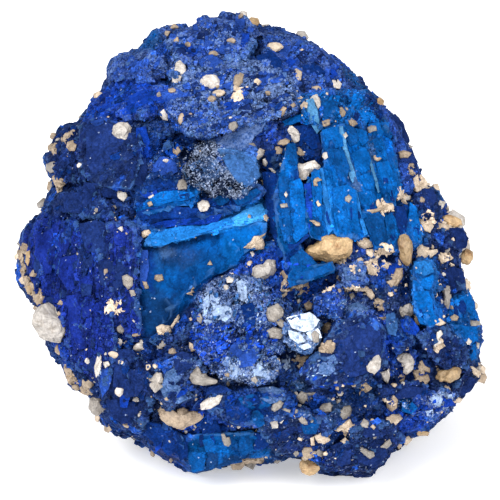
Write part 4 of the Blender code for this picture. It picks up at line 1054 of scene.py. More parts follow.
# The larger plates: each is its blue, how far it stands off the stone, how much it rises to the right
# and upwards, and its corners' x and y on the drawing.
PLATES = (
    ("deep", 0.8, 0, 0, 262,172, 272,172, 280,176, 284,200, 283,230, 278,246, 270,232, 266,206),
    ("deep", 1, 0.1, 0, 262,152, 276,150, 280,172, 276,176, 262,168),
    ("azure", 0.6, 0.15, 0, 279,176, 289,178, 290,208, 291,232, 284,244, 279,222),
    ("sky", 1.8, 0.05, 0, 289,182, 300,178, 303,184, 306,206, 309,232, 296,243, 292,236, 290,206),
    ("pale", 2.6, 0.1, 0, 299,180, 303,183, 306,208, 308,228, 303,232, 301,206),
    ("azure", 1.4, 0, 0, 287,144, 295,143, 297,158, 298,166, 290,164, 286,156),
    ("deep", 1.2, 0, 0.2, 283,244, 296,244, 308,233, 310,236, 290,252, 280,258, 274,252),
    ("vivid", 0.6, 0, 0, 304,184, 311,182, 313,206, 312,224, 309,230, 306,206),
    ("sky", 1.8, 0.1, 0, 311,172, 320,170, 322,190, 322,220, 316,226, 312,218, 312,190),
    ("pale", 1.8, 0.1, 0, 320,168, 323,168, 328,196, 333,230, 328,236, 324,214, 322,190),
    ("sky", 1.2, 0, 0.05, 322,130, 336,126, 342,128, 344,146, 332,150, 324,146),
    ("azure", 0.6, 0, 0, 324,148, 344,150, 350,168, 346,184, 334,190, 328,176),
    ("sky", 1.6, 0, 0, 332,188, 348,184, 356,190, 358,214, 361,232, 346,240, 336,234, 334,212),
    ("pale", 2.4, 0.1, 0, 353,192, 357,190, 362,214, 368,234, 364,236, 358,214),
    ("seam", 2.2, 0, 0, 339,126, 343,126, 347,146, 352,164, 358,182, 356,190, 350,178, 345,160, 341,142),
    ("azure", 1.4, 0, 0, 346,124, 354,127, 359,138, 357,143, 350,146, 346,136),
    ("sky", 2, 0, 0.05, 355,128, 366,130, 369,140, 362,146, 358,138),
    ("sky", 2, 0.05, 0, 352,153, 360,149, 366,147, 371,158, 370,170, 362,173, 355,170),
    ("sky", 1, 0, 0, 358,176, 370,172, 375,184, 374,190, 362,190),
    ("sky", 1.8, 0, 0.05, 357,192, 374,190, 377,200, 370,206, 361,204),
    ("seam", 2.6, 0, 0, 366,150, 368,151, 372,163, 376,176, 380,192, 378,193, 374,179, 369,163),
    ("sky", 1.2, 0, 0, 367,142, 382,136, 386,150, 388,160, 376,162, 371,158),
    ("sky", 1.8, 0.05, 0, 376,163, 388,160, 396,176, 400,192, 395,198, 386,200, 381,186),
    ("sky", 2, 0, 0.1, 368,124, 378,122, 384,132, 382,136, 370,138),
    ("seam", 2.2, 0.05, 0, 306,100, 313,98, 318,112, 321,130, 317,134, 311,124, 307,112),
    ("azure", 1.2, 0, 0, 320,102, 334,100, 338,108, 336,118, 326,120, 320,114),
    ("sky", 1.6, 0, 0.1, 350,112, 362,110, 372,112, 376,118, 366,124, 352,120),
    ("sky", 2.4, 0, 0.1, 281,122, 296,115, 306,112, 308,118, 300,122, 283,127),
    ("deep", 1.6, 0.05, 0, 294,126, 308,124, 318,132, 322,148, 312,150, 300,138),
    ("deep", 0.8, 0, 0.05, 304,148, 318,152, 322,164, 312,168, 304,160),
    ("azure", 1, 0, 0, 262,176, 268,174, 270,190, 264,196),
    ("bright", 1.4, 0, 0, 150,238, 160,230, 180,226, 205,226, 215,222, 230,217, 234,222, 212,230, 184,238,
     162,246, 151,246),
    ("shelf", 1.8, 0, 0, 231,218, 247,208, 262,203, 265,212, 266,220, 244,226, 233,226),
    ("dusty", 0.8, 0.2, 0, 139,250, 148,250, 149,270, 144,290, 140,286),
    ("sky", 1.4, 0, 0.1, 149,206, 150,198, 160,192, 176,190, 192,192, 196,196, 186,200, 168,203, 158,206),
    ("deep", 1.2, 0, 0.1, 136,212, 150,208, 172,206, 196,208, 205,212, 196,218, 160,220, 140,220),
    ("vivid", 0.8, 0, 0.1, 152,224, 170,220, 200,218, 222,214, 218,222, 200,225, 180,225, 158,229),
    ("azure", 1.4, 0, 0, 213,196, 226,194, 230,200, 222,206, 212,204),
    ("azure", 1, 0, 0.1, 232,198, 244,194, 256,188, 262,192, 252,200, 238,206),
    ("plate", 1.6, 0, 0.05, 222,158, 226,154, 240,154, 250,157, 258,166, 260,176, 252,184, 246,188,
     238,182, 230,172),
    ("frost", 1.8, 0, 0, 239,196, 246,190, 252,184, 257,180, 258,182, 252,188, 244,196, 240,200),
    ("dusty", 1.2, 0.05, 0, 148,160, 164,156, 176,162, 178,172, 164,178, 150,172),
    ("pale", 1.4, 0, 0.1, 414,263, 424,260, 431,262, 434,272, 424,276, 414,272),
    ("sky", 1, 0, 0, 413,274, 424,278, 434,274, 433,284, 430,290, 418,288, 413,282),
    ("sky", 1.2, 0, 0, 413,291, 428,291, 433,300, 434,312, 440,322, 430,326, 420,324, 414,310),
    ("sky", 1.6, -0.05, 0, 453,302, 462,296, 470,292, 475,302, 477,318, 468,320, 454,318),
    ("sky", 1, 0, 0, 450,323, 466,326, 477,326, 478,340, 470,346, 460,338),
    ("sky", 0.8, 0, 0, 466,347, 476,343, 477,358, 470,362, 464,356),
    ("azure", 2.6, 0.05, 0, 366,216, 378,214, 384,222, 388,240, 376,246, 371,236, 366,226),
    ("sky", 1.4, 0, 0, 384,216, 392,212, 396,220, 399,238, 392,246, 387,232),
    ("deep", 1.6, 0, 0, 394,206, 405,206, 408,222, 406,232, 400,234, 396,222),
    ("sky", 1.4, 0.05, 0, 410,202, 416,206, 420,222, 421,238, 414,244, 409,232, 408,216),
    ("navy", 1.8, 0, 0, 414,196, 424,188, 434,190, 438,200, 430,208, 418,206),
    ("navy", 1.8, 0, 0.05, 436,236, 450,228, 462,228, 469,238, 466,248, 450,250, 440,246),
    ("navy", 1.4, 0, 0, 440,272, 454,266, 464,272, 465,282, 456,288, 444,284),
    ("plate", 1.6, 0, 0, 386,314, 394,312, 398,324, 396,336, 388,334, 386,324),
    ("vivid", 1.4, 0, 0, 400,320, 412,318, 420,330, 416,336, 404,332),
    ("azure", 1.4, 0, 0.05, 287,280, 300,272, 318,268, 330,262, 334,270, 318,276, 302,282, 290,288),
    ("azure", 1, 0, 0.1, 290,258, 302,248, 312,258, 318,264, 306,270, 292,274),
    ("navy", 1, 0, 0, 340,330, 362,322, 380,330, 382,350, 372,372, 350,378, 336,362),
    ("slate", 0.8, 0, 0, 320,360, 334,354, 340,366, 330,376, 318,374),
    ("slate", 1, 0, 0, 346,306, 358,302, 368,308, 366,318, 352,318),
    ("slate", 1, 0.05, 0, 342,268, 358,266, 366,274, 360,280, 346,280),
    ("navy", 1.2, 0, 0, 78,224, 96,220, 116,226, 126,240, 122,254, 104,258, 86,250),
    ("navy", 1, 0, 0.05, 62,196, 84,190, 100,198, 108,210, 90,216, 66,212),
    ("navy", 0.4, 0, 0, 84,182, 100,184, 124,183, 134,180, 138,190, 120,200, 96,196, 82,192),
    ("vivid", 0.4, 0, 0, 136,128, 146,126, 150,142, 148,160, 140,164, 136,146),
    ("navy", 0.4, 0, 0, 134,162, 146,158, 148,176, 142,190, 134,184, 130,172),
    ("navy", 1.4, 0.05, 0.05, 114,352, 124,349, 134,351, 148,366, 146,384, 138,396, 126,398, 113,386),
    ("slate", 0.9, -0.05, 0.05, 160,388, 166,372, 176,367, 186,384, 192,398, 178,404, 166,402),
    ("navy", 1.2, 0.05, 0, 172,355, 182,351, 192,354, 196,362, 186,372, 175,370),
    ("dusty", 1.6, 0.15, 0, 102,370, 108,367, 112,378, 108,390, 102,398, 99,386),
    ("navy", 1.2, 0, 0.1, 106,400, 120,399, 132,402, 150,400, 152,412, 138,424, 122,424, 110,416),
    ("deep", 1.2, 0.1, 0, 142,418, 151,422, 161,424, 165,438, 157,447, 146,436),
    ("violet", 1.2, -0.05, 0, 66,296, 78,294, 92,300, 97,320, 92,346, 80,350, 70,332),
    ("violet", 1, 0.1, 0, 36,236, 52,228, 60,240, 58,262, 44,268, 34,254),
    ("violet", 1.4, 0, 0, 60,258, 76,254, 86,266, 84,288, 68,290, 58,276),
    ("navy", 1.2, 0.05, 0.05, 98,262, 112,258, 126,264, 128,282, 114,292, 100,284),
    ("navy", 1.4, 0, 0.05, 352,442, 368,436, 384,440, 388,456, 374,468, 358,462),
    ("navy", 1.2, 0.1, 0, 330,446, 344,440, 352,450, 350,464, 338,466),
    ("azure", 1.6, 0.05, 0, 300,420, 312,416, 320,424, 316,434, 304,434),
    ("vivid", 1.6, 0.1, 0.05, 386,268, 396,262, 404,270, 402,282, 392,286),
    ("navy", 1.4, 0.05, 0, 352,428, 366,420, 378,426, 380,436, 366,438),
    ("deep", 1.2, 0.05, 0.05, 226,408, 240,404, 252,410, 250,420, 236,424, 226,418),
    ("dusty", 1, 0.05, 0.05, 206,388, 220,384, 232,390, 230,400, 216,404, 206,398),
    ("navy", 1.2, 0.05, 0.1, 395,113, 403,122, 410,141, 405,150, 396,138, 388,122),
    ("navy", 1.2, 0.05, 0.1, 400,152, 412,148, 418,162, 414,174, 402,168),
    ("dusty", 1, 0.05, 0.05, 196,60, 212,54, 226,62, 222,72, 206,74),
    ("vivid", 1, 0.05, 0.05, 128,96, 142,90, 152,98, 148,108, 132,108),
    ("dusty", 1, -0.05, 0.1, 160,92, 176,88, 188,94, 184,104, 166,106),
    ("deep", 1, 0.1, 0.05, 256,56, 270,50, 282,60, 280,72, 264,74),
    ("deep", 1, 0, 0.1, 300,66, 314,62, 326,72, 322,82, 306,82),
    ("plateau", 4, 0, 0.1, 203,129, 222,133, 244,131, 256,124, 254,138, 247,150, 236,152, 222,149,
     210,143, 201,137),
    ("plateau", 3, 0, 0.05, 236,122, 256,118, 266,122, 262,132, 250,140, 238,136),
    ("dusty", 0.6, 0, 0, 90,122, 104,117, 124,124, 122,132, 100,130),
    ("dusty", 0.8, 0, 0, 230,346, 242,340, 256,346, 260,356, 254,366, 240,368, 230,360),
    ("vivid", 0.9, 0, 0, 236,338, 248,336, 252,346, 246,352, 236,350),
    ("deep", 0.5, 0, 0, 238,306, 252,302, 258,314, 254,326, 242,328, 236,318),
    ("navy", 0.9, 0, 0, 86,130, 106,122, 132,134, 138,156, 126,182, 100,182, 86,164),
    ("frost", 1.2, 0, 0, 203,300, 209,292, 210,302, 207,314, 204,316),
    ("frost", 1.6, 0, 0, 210,294, 218,296, 219,303, 213,306, 210,302),
    ("frost", 1.8, 0, 0.05, 212,306, 222,304, 231,308, 233,315, 226,322, 213,319),
    ("frost", 2, 0, 0, 236,282, 242,279, 247,286, 247,298, 241,302, 238,292),
    ("frost", 1, 0, 0, 203,320, 212,319, 214,324, 206,326),
    ("spark", 2.4, 0.05, 0.05, 286,318, 300,314, 310,312, 320,320, 313,330, 304,332, 292,328),
    ("spark", 1.8, 0, 0, 288,330, 300,333, 306,341, 298,344, 290,338),
    ("spark", 2, 0.05, 0, 306,333, 318,328, 322,338, 312,341),
    ("spark", 1.4, 0, 0, 297,346, 308,343, 312,347, 304,350),
    ("frost", 1.2, 0, 0, 229,365, 234,363, 238,368, 237,376, 231,375),
    ("frost", 1.4, 0, 0, 252,366, 259,363, 265,369, 263,377, 255,376),
    ("frost", 1.2, 0, 0, 280,361, 287,359, 291,367, 284,369),
    ("frost", 1.6, 0, 0, 429,399, 438,395, 443,399, 440,407, 432,404),
    ("frost", 1.8, 0, 0, 445,395, 452,394, 453,400, 447,406),
    ("frost", 1.2, 0, 0, 425,411, 433,409, 433,417, 427,416),
    ("sky", 1.6, 0, 0, 402,406, 412,402, 418,408, 412,414, 402,412),
    ("azure", 1, 0.05, 0, 189,440, 200,438, 206,452, 204,470, 192,473, 188,460),
    ("sky", 2, 0, 0, 202,440, 212,438, 217,446, 214,452, 206,452),
    ("teal", 1.2, 0, 0, 206,454, 222,448, 238,450, 240,462, 222,467, 206,471),
    ("deep", 0.8, 0, 0, 202,422, 216,420, 222,432, 212,438, 202,436),
    ("azure", 1.8, 0, 0, 240,432, 252,430, 254,450, 244,456, 238,450),
    ("deep", 1.4, 0, 0, 254,432, 264,434, 270,444, 262,450, 254,450),
    ("vivid", 1.6, 0.1, 0, 157,434, 162,432, 161,448, 155,453),
    ("deep", 1, 0, 0, 164,436, 176,434, 178,450, 168,456, 162,450),
    ("deep", 1.4, 0, 0, 176,432, 188,436, 188,456, 180,462, 176,450),
    ("azure", 2, 0, 0.1, 252,412, 258,410, 264,416, 265,424, 258,428, 253,422),
    ("azure", 1.2, 0, 0.05, 238,398, 252,394, 268,396, 272,406, 256,412, 242,408),
    ("slate", 1, 0, 0, 258,388, 272,386, 284,390, 286,400, 270,404, 260,398),
    ("navy", 1.2, 0, 0, 452,384, 466,375, 478,380, 470,392, 456,398, 450,392),
    ("navy", 1, 0, 0, 380,386, 402,384, 424,388, 420,396, 398,400, 382,396),
)
PLATE_ROOT = 9.0  # how far a plate reaches into the stone
PLATE_BEVEL = 0.55
PLATE_POWDER = {"slate": 0.5, "frost": 0.25, "plateau": 0.85}
LITTLE_POWDER = 0.04  # on plates of any other blue
PROBE_REACH = 6.0  # a plate bridges what is deeper than this, or higher
STEEPEST_PLATE = 0.9
ROUGHNESS_STAND = 0.6  # how far a plate stands off a rough place, beside how rough it is

# The kinds of plate: how far its broken edge runs from bend to bend, how far out or in each bend is, how
# light it may be beside others of its blue, and how grainy its top is.
LARGE_PLATE = (3.4, 0.5, (0.84, 1.16), 0.45)
SMALL_PLATE = (2.4, 0.35, (0.62, 1.42), 0.8)
FLAKE_PLATE = (2.4, 0.3, (0.62, 1.42), 0.8)


def ragged_ring(corners, dice, step, jitter):
    """The ring with points thrown in along its edges, each a little to one side."""
    made = []
    for (x0, y0), (x1, y1) in zip(corners, corners[1:] + corners[:1]):
        length = math.hypot(x1 - x0, y1 - y0)
        parts = max(1, round(length / step))
        for part in range(parts):
            share = part / parts
            aside = dice.uniform(-jitter, jitter) if part else 0.0
            made.append((x0 + (x1 - x0) * share + (y1 - y0) / length * aside,
                         y0 + (y1 - y0) * share - (x1 - x0) / length * aside))
    return np.array(made)


def surface_plane(ring):
    """The plane that lies best along the stone under a ring, as a function of the drawing."""
    middle = ring.mean(axis=0)
    probes = np.vstack((ring, middle, (ring + middle) / 2.0))
    depths = np.array([seen_surface(*probe) for probe in probes])
    depths = np.clip(depths, np.median(depths) - PROBE_REACH, np.median(depths) + PROBE_REACH)
    rel = (probes - middle) * (1.0, -1.0)
    level, right, up = np.linalg.lstsq(np.column_stack((np.ones(len(rel)), rel)), depths, rcond=None)[0]
    right = float(np.clip(right, -STEEPEST_PLATE, STEEPEST_PLATE))
    up = float(np.clip(up, -STEEPEST_PLATE, STEEPEST_PLATE))
    spare = float(np.std(depths - level - rel @ (right, up))) * ROUGHNESS_STAND
    return lambda x, y: level + spare + (x - middle[0]) * right + (middle[1] - y) * up


def add_plate(made, dice, tint, lift, lean_right, lean_up, corners, kind=LARGE_PLATE):
    """One plate with a broken edge to the arrays of its piece: top, narrow bevel, sides and back."""
    step, jitter, lights, grain = kind
    ring = ragged_ring(corners, dice, step, jitter)
    middle = ring.mean(axis=0)
    plane = surface_plane(ring)
    reach = np.hypot(*(ring - middle).T)[:, None]
    inner = middle + (ring - middle) * (1.0 - PLATE_BEVEL / np.maximum(reach, 2.0))
    rows = []
    for row, drop in ((inner, 0.0), (ring, PLATE_BEVEL), (ring, PLATE_ROOT)):
        x, y = row.T
        rise = lift + (x - middle[0]) * lean_right + (middle[1] - y) * lean_up
        rows.append(place(x, y, plane(x, y) + rise - drop))
    start, count = made["count"], len(ring)
    made["points"] += rows
    made["faces"].append([start + i for i in range(count)])
    made["faces"].append([start + 2 * count + i for i in reversed(range(count))])
    for row in (0, 1):
        for i in range(count):
            j = (i + 1) % count
            near, far = start + row * count, start + (row + 1) * count
            made["faces"].append([near + j, near + i, far + i, far + j])
    made["blues"].append(np.tile(blue_of(tint) * dice.uniform(*lights), (3 * count, 1)))
    # The bevel ring counts as a sharp edge, so the material paints it paler: partly wear, partly a painted
    # highlight.
    made["edges"].append(np.repeat((0.0, -0.9, 0.0), count))
    made["pale"].append(np.full(3 * count, PLATE_POWDER.get(tint, LITTLE_POWDER)))
    made["grit"].append(np.full(3 * count, grain))
    made["count"] += 3 * count


# The crystals without lesser plates, besides the druse; and how the lesser plates are laid out: one to
# this much of a crystal's face, and the corners of each before they are thrown about.
BARE_CRYSTALS = ("sparkling_crystal", "silvery_knob", "great_face", "knob_plate")
SLIVER_AREA = {True: 58.0, False: 130.0}  # on crystals that broke blocky, and on the others
SLAB_AREA = 300.0
SLIVER = ((-1, -0.9), (0.3, -1.0), (1, -0.7), (0.9, 0.8), (-0.2, 1.0), (-1.0, 0.7))
SLAB = ((-1, -0.9), (0.2, -1.1), (1, -0.8), (0.9, 0.9), (-0.3, 1.1), (-1.1, 0.6))


def lesser_plates(made):
    """The small steps and slivers that no one plate stands for, thick on crystals that broke blocky."""
    for name, _lift, _right, _up, _flare, corners in CRYSTALS:
        if "druse" in name or name in BARE_CRYSTALS:
            continue
        dice = random.Random("slivers " + name)
        tint, grain, stretch, coarse, *_rest = HABITS[name]
        low, high = np.min(corners, axis=0), np.max(corners, axis=0)
        for _ in range(int((high - low).prod() / SLIVER_AREA[coarse >= BLOCKY])):
            x, y = dice.uniform(low[0], high[0]), dice.uniform(low[1], high[1])
            length, width = dice.uniform(2.0, 6.5) * stretch**0.6, dice.uniform(1.8, 4.6) / stretch**0.2
            ring = thrown_ring(dice, x, y, grain, length, width, SLIVER, (0.6, 1.2), (0.5, 1.2))
            lift, right, up = dice.uniform(0.2, 1.8), dice.uniform(-0.3, 0.3), dice.uniform(-0.3, 0.3)
            blue = dice.choice((tint, tint, tint, "navy" if tint in ("dusty", "violet") else "deep"))
            if inside_by(corners, *np.array(ring).T).min() > 0.5:
                add_plate(made, dice, blue, lift, right, up, ring, SMALL_PLATE)
        if coarse < BLOCKY:
            continue
        blues = (tint, tint, "navy") if tint == "violet" else (tint, tint, "deep", "navy", "vivid")
        for _ in range(int((high - low).prod() / SLAB_AREA)):
            x, y = dice.uniform(low[0], high[0]), dice.uniform(low[1], high[1])
            length, width = dice.uniform(4.5, 9.0) * stretch**0.4, dice.uniform(3.5, 7.0)
            ring = thrown_ring(dice, x, y, grain, length, width, SLAB, (0.6, 1.15), (0.5, 1.15))
            lift, right, up = dice.uniform(0.2, 1.4), dice.uniform(-0.28, 0.28), dice.uniform(-0.28, 0.28)
            blue = dice.choice(blues)
            if inside_by(corners, *np.array(ring).T).min() > 0.0:
                add_plate(made, dice, blue, lift, right, up, ring)


# Flakes of the druse and the sparkling parts, in clusters: blue, how many, middle, half size, which way
# they run in degrees, and half length.
FLAKES = (
    ("frost", 9, 241, 290, 6, 11, 80, 4), ("frost", 12, 214, 306, 10, 13, 60, 4),
    ("frost", 7, 206, 320, 5, 8, 70, 3), ("plate", 16, 226, 300, 16, 18, 65, 4.5),
    ("plate", 14, 262, 296, 14, 16, 70, 4), ("slate", 10, 256, 330, 16, 12, 50, 4),
    ("lapis", 34, 212, 344, 16, 19, 25, 4.5), ("lapis", 26, 244, 336, 18, 13, 35, 4.5),
    ("dusty", 18, 226, 330, 24, 16, 40, 4.5), ("lapis", 12, 196, 336, 7, 22, 40, 4),
    ("dusty", 14, 284, 296, 14, 14, 50, 4.5), ("lapis", 14, 296, 270, 16, 8, 20, 4),
    ("dusty", 14, 300, 372, 22, 12, 40, 4.5), ("lapis", 12, 276, 344, 12, 14, 50, 4),
    ("vivid", 14, 330, 384, 30, 8, 10, 5), ("frost", 7, 222, 344, 16, 16, 30, 1.6),
    ("frost", 7, 248, 332, 16, 12, 40, 1.6), ("seam", 4, 240, 326, 10, 8, 40, 2.4),
    ("plate", 14, 292, 300, 10, 14, 60, 3.6), ("slate", 16, 304, 366, 18, 10, 40, 3.6),
    ("frost", 7, 306, 362, 14, 9, 60, 2.4), ("slate", 14, 246, 352, 14, 7, 30, 4),
    ("frost", 6, 318, 378, 12, 5, 30, 2.2), ("plate", 10, 196, 302, 6, 18, 60, 4),
    ("dusty", 10, 196, 390, 14, 8, 20, 4.5), ("dusty", 16, 262, 396, 40, 8, 10, 5),
    ("vivid", 14, 236, 404, 34, 7, 10, 5), ("frost", 12, 233, 372, 8, 11, 80, 3),
    ("frost", 12, 259, 371, 9, 9, 75, 3), ("frost", 9, 285, 362, 7, 8, 70, 3),
    ("slate", 22, 222, 124, 22, 14, 20, 3.6), ("slate", 14, 200, 104, 16, 8, 20, 3.2),
    ("slate", 12, 236, 60, 20, 10, 20, 3.2), ("frost", 6, 277, 376, 8, 6, 60, 2.6),
    ("slate", 12, 250, 362, 24, 8, 60, 3.4), ("vivid", 10, 268, 352, 12, 10, 40, 4),
    ("frost", 5, 254, 312, 8, 10, 60, 2.6), ("navy", 10, 268, 312, 10, 14, 60, 4),
    ("frost", 8, 438, 402, 10, 7, 40, 2.6), ("vivid", 10, 428, 412, 16, 9, 30, 4),
    ("frost", 5, 150, 172, 8, 5, 20, 2.4), ("slate", 10, 350, 300, 14, 8, 30, 3.4),
    ("slate", 8, 332, 366, 14, 9, 30, 3.6), ("frost", 6, 100, 372, 3, 14, 80, 2.8),
    ("slate", 8, 190, 166, 12, 6, 20, 3),
)


FLAKE = ((-1, -0.5), (0.2, -1.0), (1, -0.3), (0.7, 0.8), (-0.4, 1.0))


def add_flakes(made):
    """The clusters of flakes, each flake a narrow leaf lying its own way."""
    for seed, row in enumerate(FLAKES, start=500):
        dice = random.Random(seed)
        tint, count, middle_x, middle_y, half_width, half_height, turned, reach = row
        for _ in range(count):
            x = middle_x + dice.uniform(-1.0, 1.0) * half_width
            y = middle_y + dice.uniform(-1.0, 1.0) * half_height
            angle = turned + dice.uniform(-35.0, 35.0)
            length, width = reach * dice.uniform(0.5, 1.2), reach * dice.uniform(0.22, 0.5)
            ring = thrown_ring(dice, x, y, angle, length, width, FLAKE, (0.7, 1.1), (0.7, 1.2))
            lift, right, up = dice.uniform(0.3, 2.6), dice.uniform(-0.45, 0.45), dice.uniform(-0.45, 0.45)
            add_plate(made, dice, tint, lift, right, up, ring, FLAKE_PLATE)


def gathered_mesh(name, made):
    """The points and faces gathered so far as one mesh whose faces point outwards."""
    mesh = bpy.data.meshes.new(name)
    mesh.from_pydata(np.concatenate(made["points"]).tolist(), [], made["faces"])
    mesh.update()
    bm = bmesh.new()
    bm.from_mesh(mesh)
    bmesh.ops.recalc_face_normals(bm, faces=bm.faces)
    bm.to_mesh(mesh)
    bm.free()
    return mesh


def plates_piece():
    """All plates as one piece."""
    made = {"points": [], "faces": [], "blues": [], "edges": [], "pale": [], "grit": [], "count": 0}
    lesser_plates(made)
    add_flakes(made)
    for index, (tint, lift, lean_right, lean_up, *numbers) in enumerate(PLATES):
        add_plate(made, random.Random(index), tint, lift, lean_right, lean_up, corners_of(numbers))
    mesh = gathered_mesh("azurite_plates", made)
    points = read_points(mesh)
    owner = crystal_of(points)
    write_attribute(mesh, "blue", np.concatenate(made["blues"]))
    write_attribute(mesh, "edge", np.concatenate(made["edges"]))
    write_attribute(mesh, "powder", np.concatenate(made["pale"]))
    # No painted glints on the plates.
    write_attribute(mesh, "glassy", np.zeros(len(points)))
    write_attribute(mesh, "grit", np.minimum(habit(owner, 4), np.concatenate(made["grit"])))
    write_attribute(mesh, "cleft", np.zeros(len(points)))
    write_streaks(mesh, points, owner)
    stand_on_floor(mesh)
    mesh.materials.append(azurite.data.materials[0])
    return shown(mesh)


plates = plates_piece()
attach(plates, "root")
stone = surface_of(azurite, plates)


# ---------------------------------------------------------------------------------------------
# Crumbs and grit: the same azurite where it broke finest, as loose-looking blocks of single crystals.
# They are strewn over the mass, sunk in it, as thickly as it was painted to ask for them.
# ---------------------------------------------------------------------------------------------

# How light, how blue and how long or wide a grain may be beside others, how far its corners are out of
# true, and how few grains near the largest size there are.
GRAIN_LIGHTS = (0.78, 1.14)
GRAIN_BLUES = (0.55, 1.75)
GRAIN_BUILDS = (0.65, 1.25)
GRAIN_SKEW = 0.24
FEW_LARGE = 2.5


def scatter_tree():
    """Geometry Nodes that strew angular grains over a surface, as many as an attribute of it asks for."""
    tree = bpy.data.node_groups.new("strewn_grains", "GeometryNodeTree")
    tree.is_modifier = True
    sockets = (
        ("Surface", "INPUT", "NodeSocketGeometry"), ("Where", "INPUT", "NodeSocketString"),
        ("Grains per Square Metre", "INPUT", "NodeSocketFloat"), ("Seed", "INPUT", "NodeSocketInt"),
        ("Smallest", "INPUT", "NodeSocketFloat"), ("Largest", "INPUT", "NodeSocketFloat"),
        ("Blocky", "INPUT", "NodeSocketBool"), ("Stand", "INPUT", "NodeSocketFloat"),
        ("Material", "INPUT", "NodeSocketMaterial"), ("Grains", "OUTPUT", "NodeSocketGeometry"),
    )
    for name, way, kind in sockets:
        tree.interface.new_socket(name=name, in_out=way, socket_type=kind)
    given = node(tree, "NodeGroupInput").outputs
    asked = node(tree, "GeometryNodeInputNamedAttribute", data_type="FLOAT", Name=given["Where"])
    crowd = node(tree, "Math", operation="MULTIPLY", i0=asked, i1=given["Grains per Square Metre"])
    points = node(tree, "GeometryNodeDistributePointsOnFaces", Mesh=given["Surface"], Density=crowd,
                  Seed=given["Seed"])

    # Most grains are near the smallest size; a few reach the largest.
    luck = node(tree, "FunctionNodeRandomValue", data_type="FLOAT", i2=0.0, i3=1.0, Seed=given["Seed"])
    cubed = node(tree, "Math", operation="POWER", i0=luck.outputs[1], i1=FEW_LARGE)
    size = node(tree, "MapRange", Value=cubed, To_Min=given["Smallest"], To_Max=given["Largest"])
    known = node(tree, "GeometryNodeStoreNamedAttribute", data_type="FLOAT", domain="POINT",
                 Geometry=points.outputs["Points"], Name="grain_size", Value=size)
    low, high = GRAIN_LIGHTS
    tone = node(tree, "FunctionNodeRandomValue", data_type="FLOAT", i2=low, i3=high, Seed=7).outputs[1]
    known = node(tree, "GeometryNodeStoreNamedAttribute", data_type="FLOAT", domain="POINT",
                 Geometry=known, Name="tone", Value=tone)
    low, high = GRAIN_BLUES
    own = node(tree, "FunctionNodeRandomValue", data_type="FLOAT", i2=low, i3=high, Seed=13).outputs[1]
    blue = node(tree, "GeometryNodeInputNamedAttribute", data_type="FLOAT_COLOR", Name="blue")
    blue = node(tree, "VectorMath", operation="SCALE", i0=blue, Scale=own)
    known = node(tree, "GeometryNodeStoreNamedAttribute", data_type="FLOAT_COLOR", domain="POINT",
                 Geometry=known, Name="blue", Value=blue)
    grain_size = node(tree, "GeometryNodeInputNamedAttribute", data_type="FLOAT", Name="grain_size")
    outward = node(tree, "Math", operation="MULTIPLY", i0=size, i1=given["Stand"])
    rise = node(tree, "VectorMath", operation="SCALE", i0=points.outputs["Normal"], Scale=outward)
    raised = node(tree, "GeometryNodeSetPosition", Geometry=known, Offset=rise)

    ball = node(tree, "GeometryNodeMeshIcoSphere", Radius=1.0, Subdivisions=1).outputs["Mesh"]
    block = node(tree, "GeometryNodeMeshCube", Size=(1.5, 1.5, 1.5)).outputs["Mesh"]
    shape = node(tree, "GeometryNodeSwitch", input_type="GEOMETRY", Switch=given["Blocky"], False_=ball,
                 True_=block)
    turn = node(tree, "FunctionNodeRandomValue", data_type="FLOAT_VECTOR", i0=(0.0,) * 3,
                i1=(math.tau,) * 3, Seed=3)
    low, high = GRAIN_BUILDS
    build = node(tree, "FunctionNodeRandomValue", data_type="FLOAT_VECTOR", i0=(low,) * 3,
                 i1=(high,) * 3, Seed=5)
    build = node(tree, "VectorMath", operation="SCALE", i0=build, Scale=grain_size)
    strewn = node(tree, "GeometryNodeInstanceOnPoints", Points=raised, Instance=shape, Rotation=turn,
                  Scale=build)
    solid = node(tree, "GeometryNodeRealizeInstances", Geometry=strewn)

    # No two grains are alike: each corner is pushed its own way.
    push = node(tree, "FunctionNodeRandomValue", data_type="FLOAT_VECTOR", i0=(-GRAIN_SKEW,) * 3,
                i1=(GRAIN_SKEW,) * 3, Seed=11)
    push = node(tree, "VectorMath", operation="SCALE", i0=push, Scale=grain_size)
    uneven = node(tree, "GeometryNodeSetPosition", Geometry=solid, Offset=push)
    finished = node(tree, "GeometryNodeSetMaterial", Geometry=uneven, Material=given["Material"])
    node(tree, "NodeGroupOutput", i0=finished)
    return tree


STREWN = scatter_tree()


def strew(name, surface, material, **sizes):
    """Grains of one material strewn over a surface, as a piece of plain mesh."""
    mesh = surface.data.copy()
    mesh.name = name
    base = shown(mesh)
    strewing = base.modifiers.new("strewn", "NODES")
    strewing.node_group = STREWN
    sizes["Material"] = material
    for item in STREWN.interface.items_tree:
        if item.in_out == "INPUT" and item.name.replace(" ", "_") in sizes:
            strewing[item.identifier] = sizes[item.name.replace(" ", "_")]
    settle(base)
    stand_on_floor(base.data)
    base.data.shade_flat()
    return base


# Crumbs are blocks 0.1 to 0.4 mm across, grit blocks 0.1 to 0.3 mm.
crumbs = strew("azurite_crumbs", azurite, azurite.data.materials[0], Where="crumbly",
               Grains_per_Square_Metre=3.4e6, Seed=3, Smallest=1.2 * UNIT, Largest=4.6 * UNIT,
               Blocky=True, Stand=-0.5)
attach(crumbs, "root")
grit = strew("azurite_grit", azurite, azurite.data.materials[0], Where="grainy",
             Grains_per_Square_Metre=1.9e7, Seed=9, Smallest=0.8 * UNIT, Largest=3.2 * UNIT,
             Blocky=True, Stand=-0.15)
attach(grit, "root")
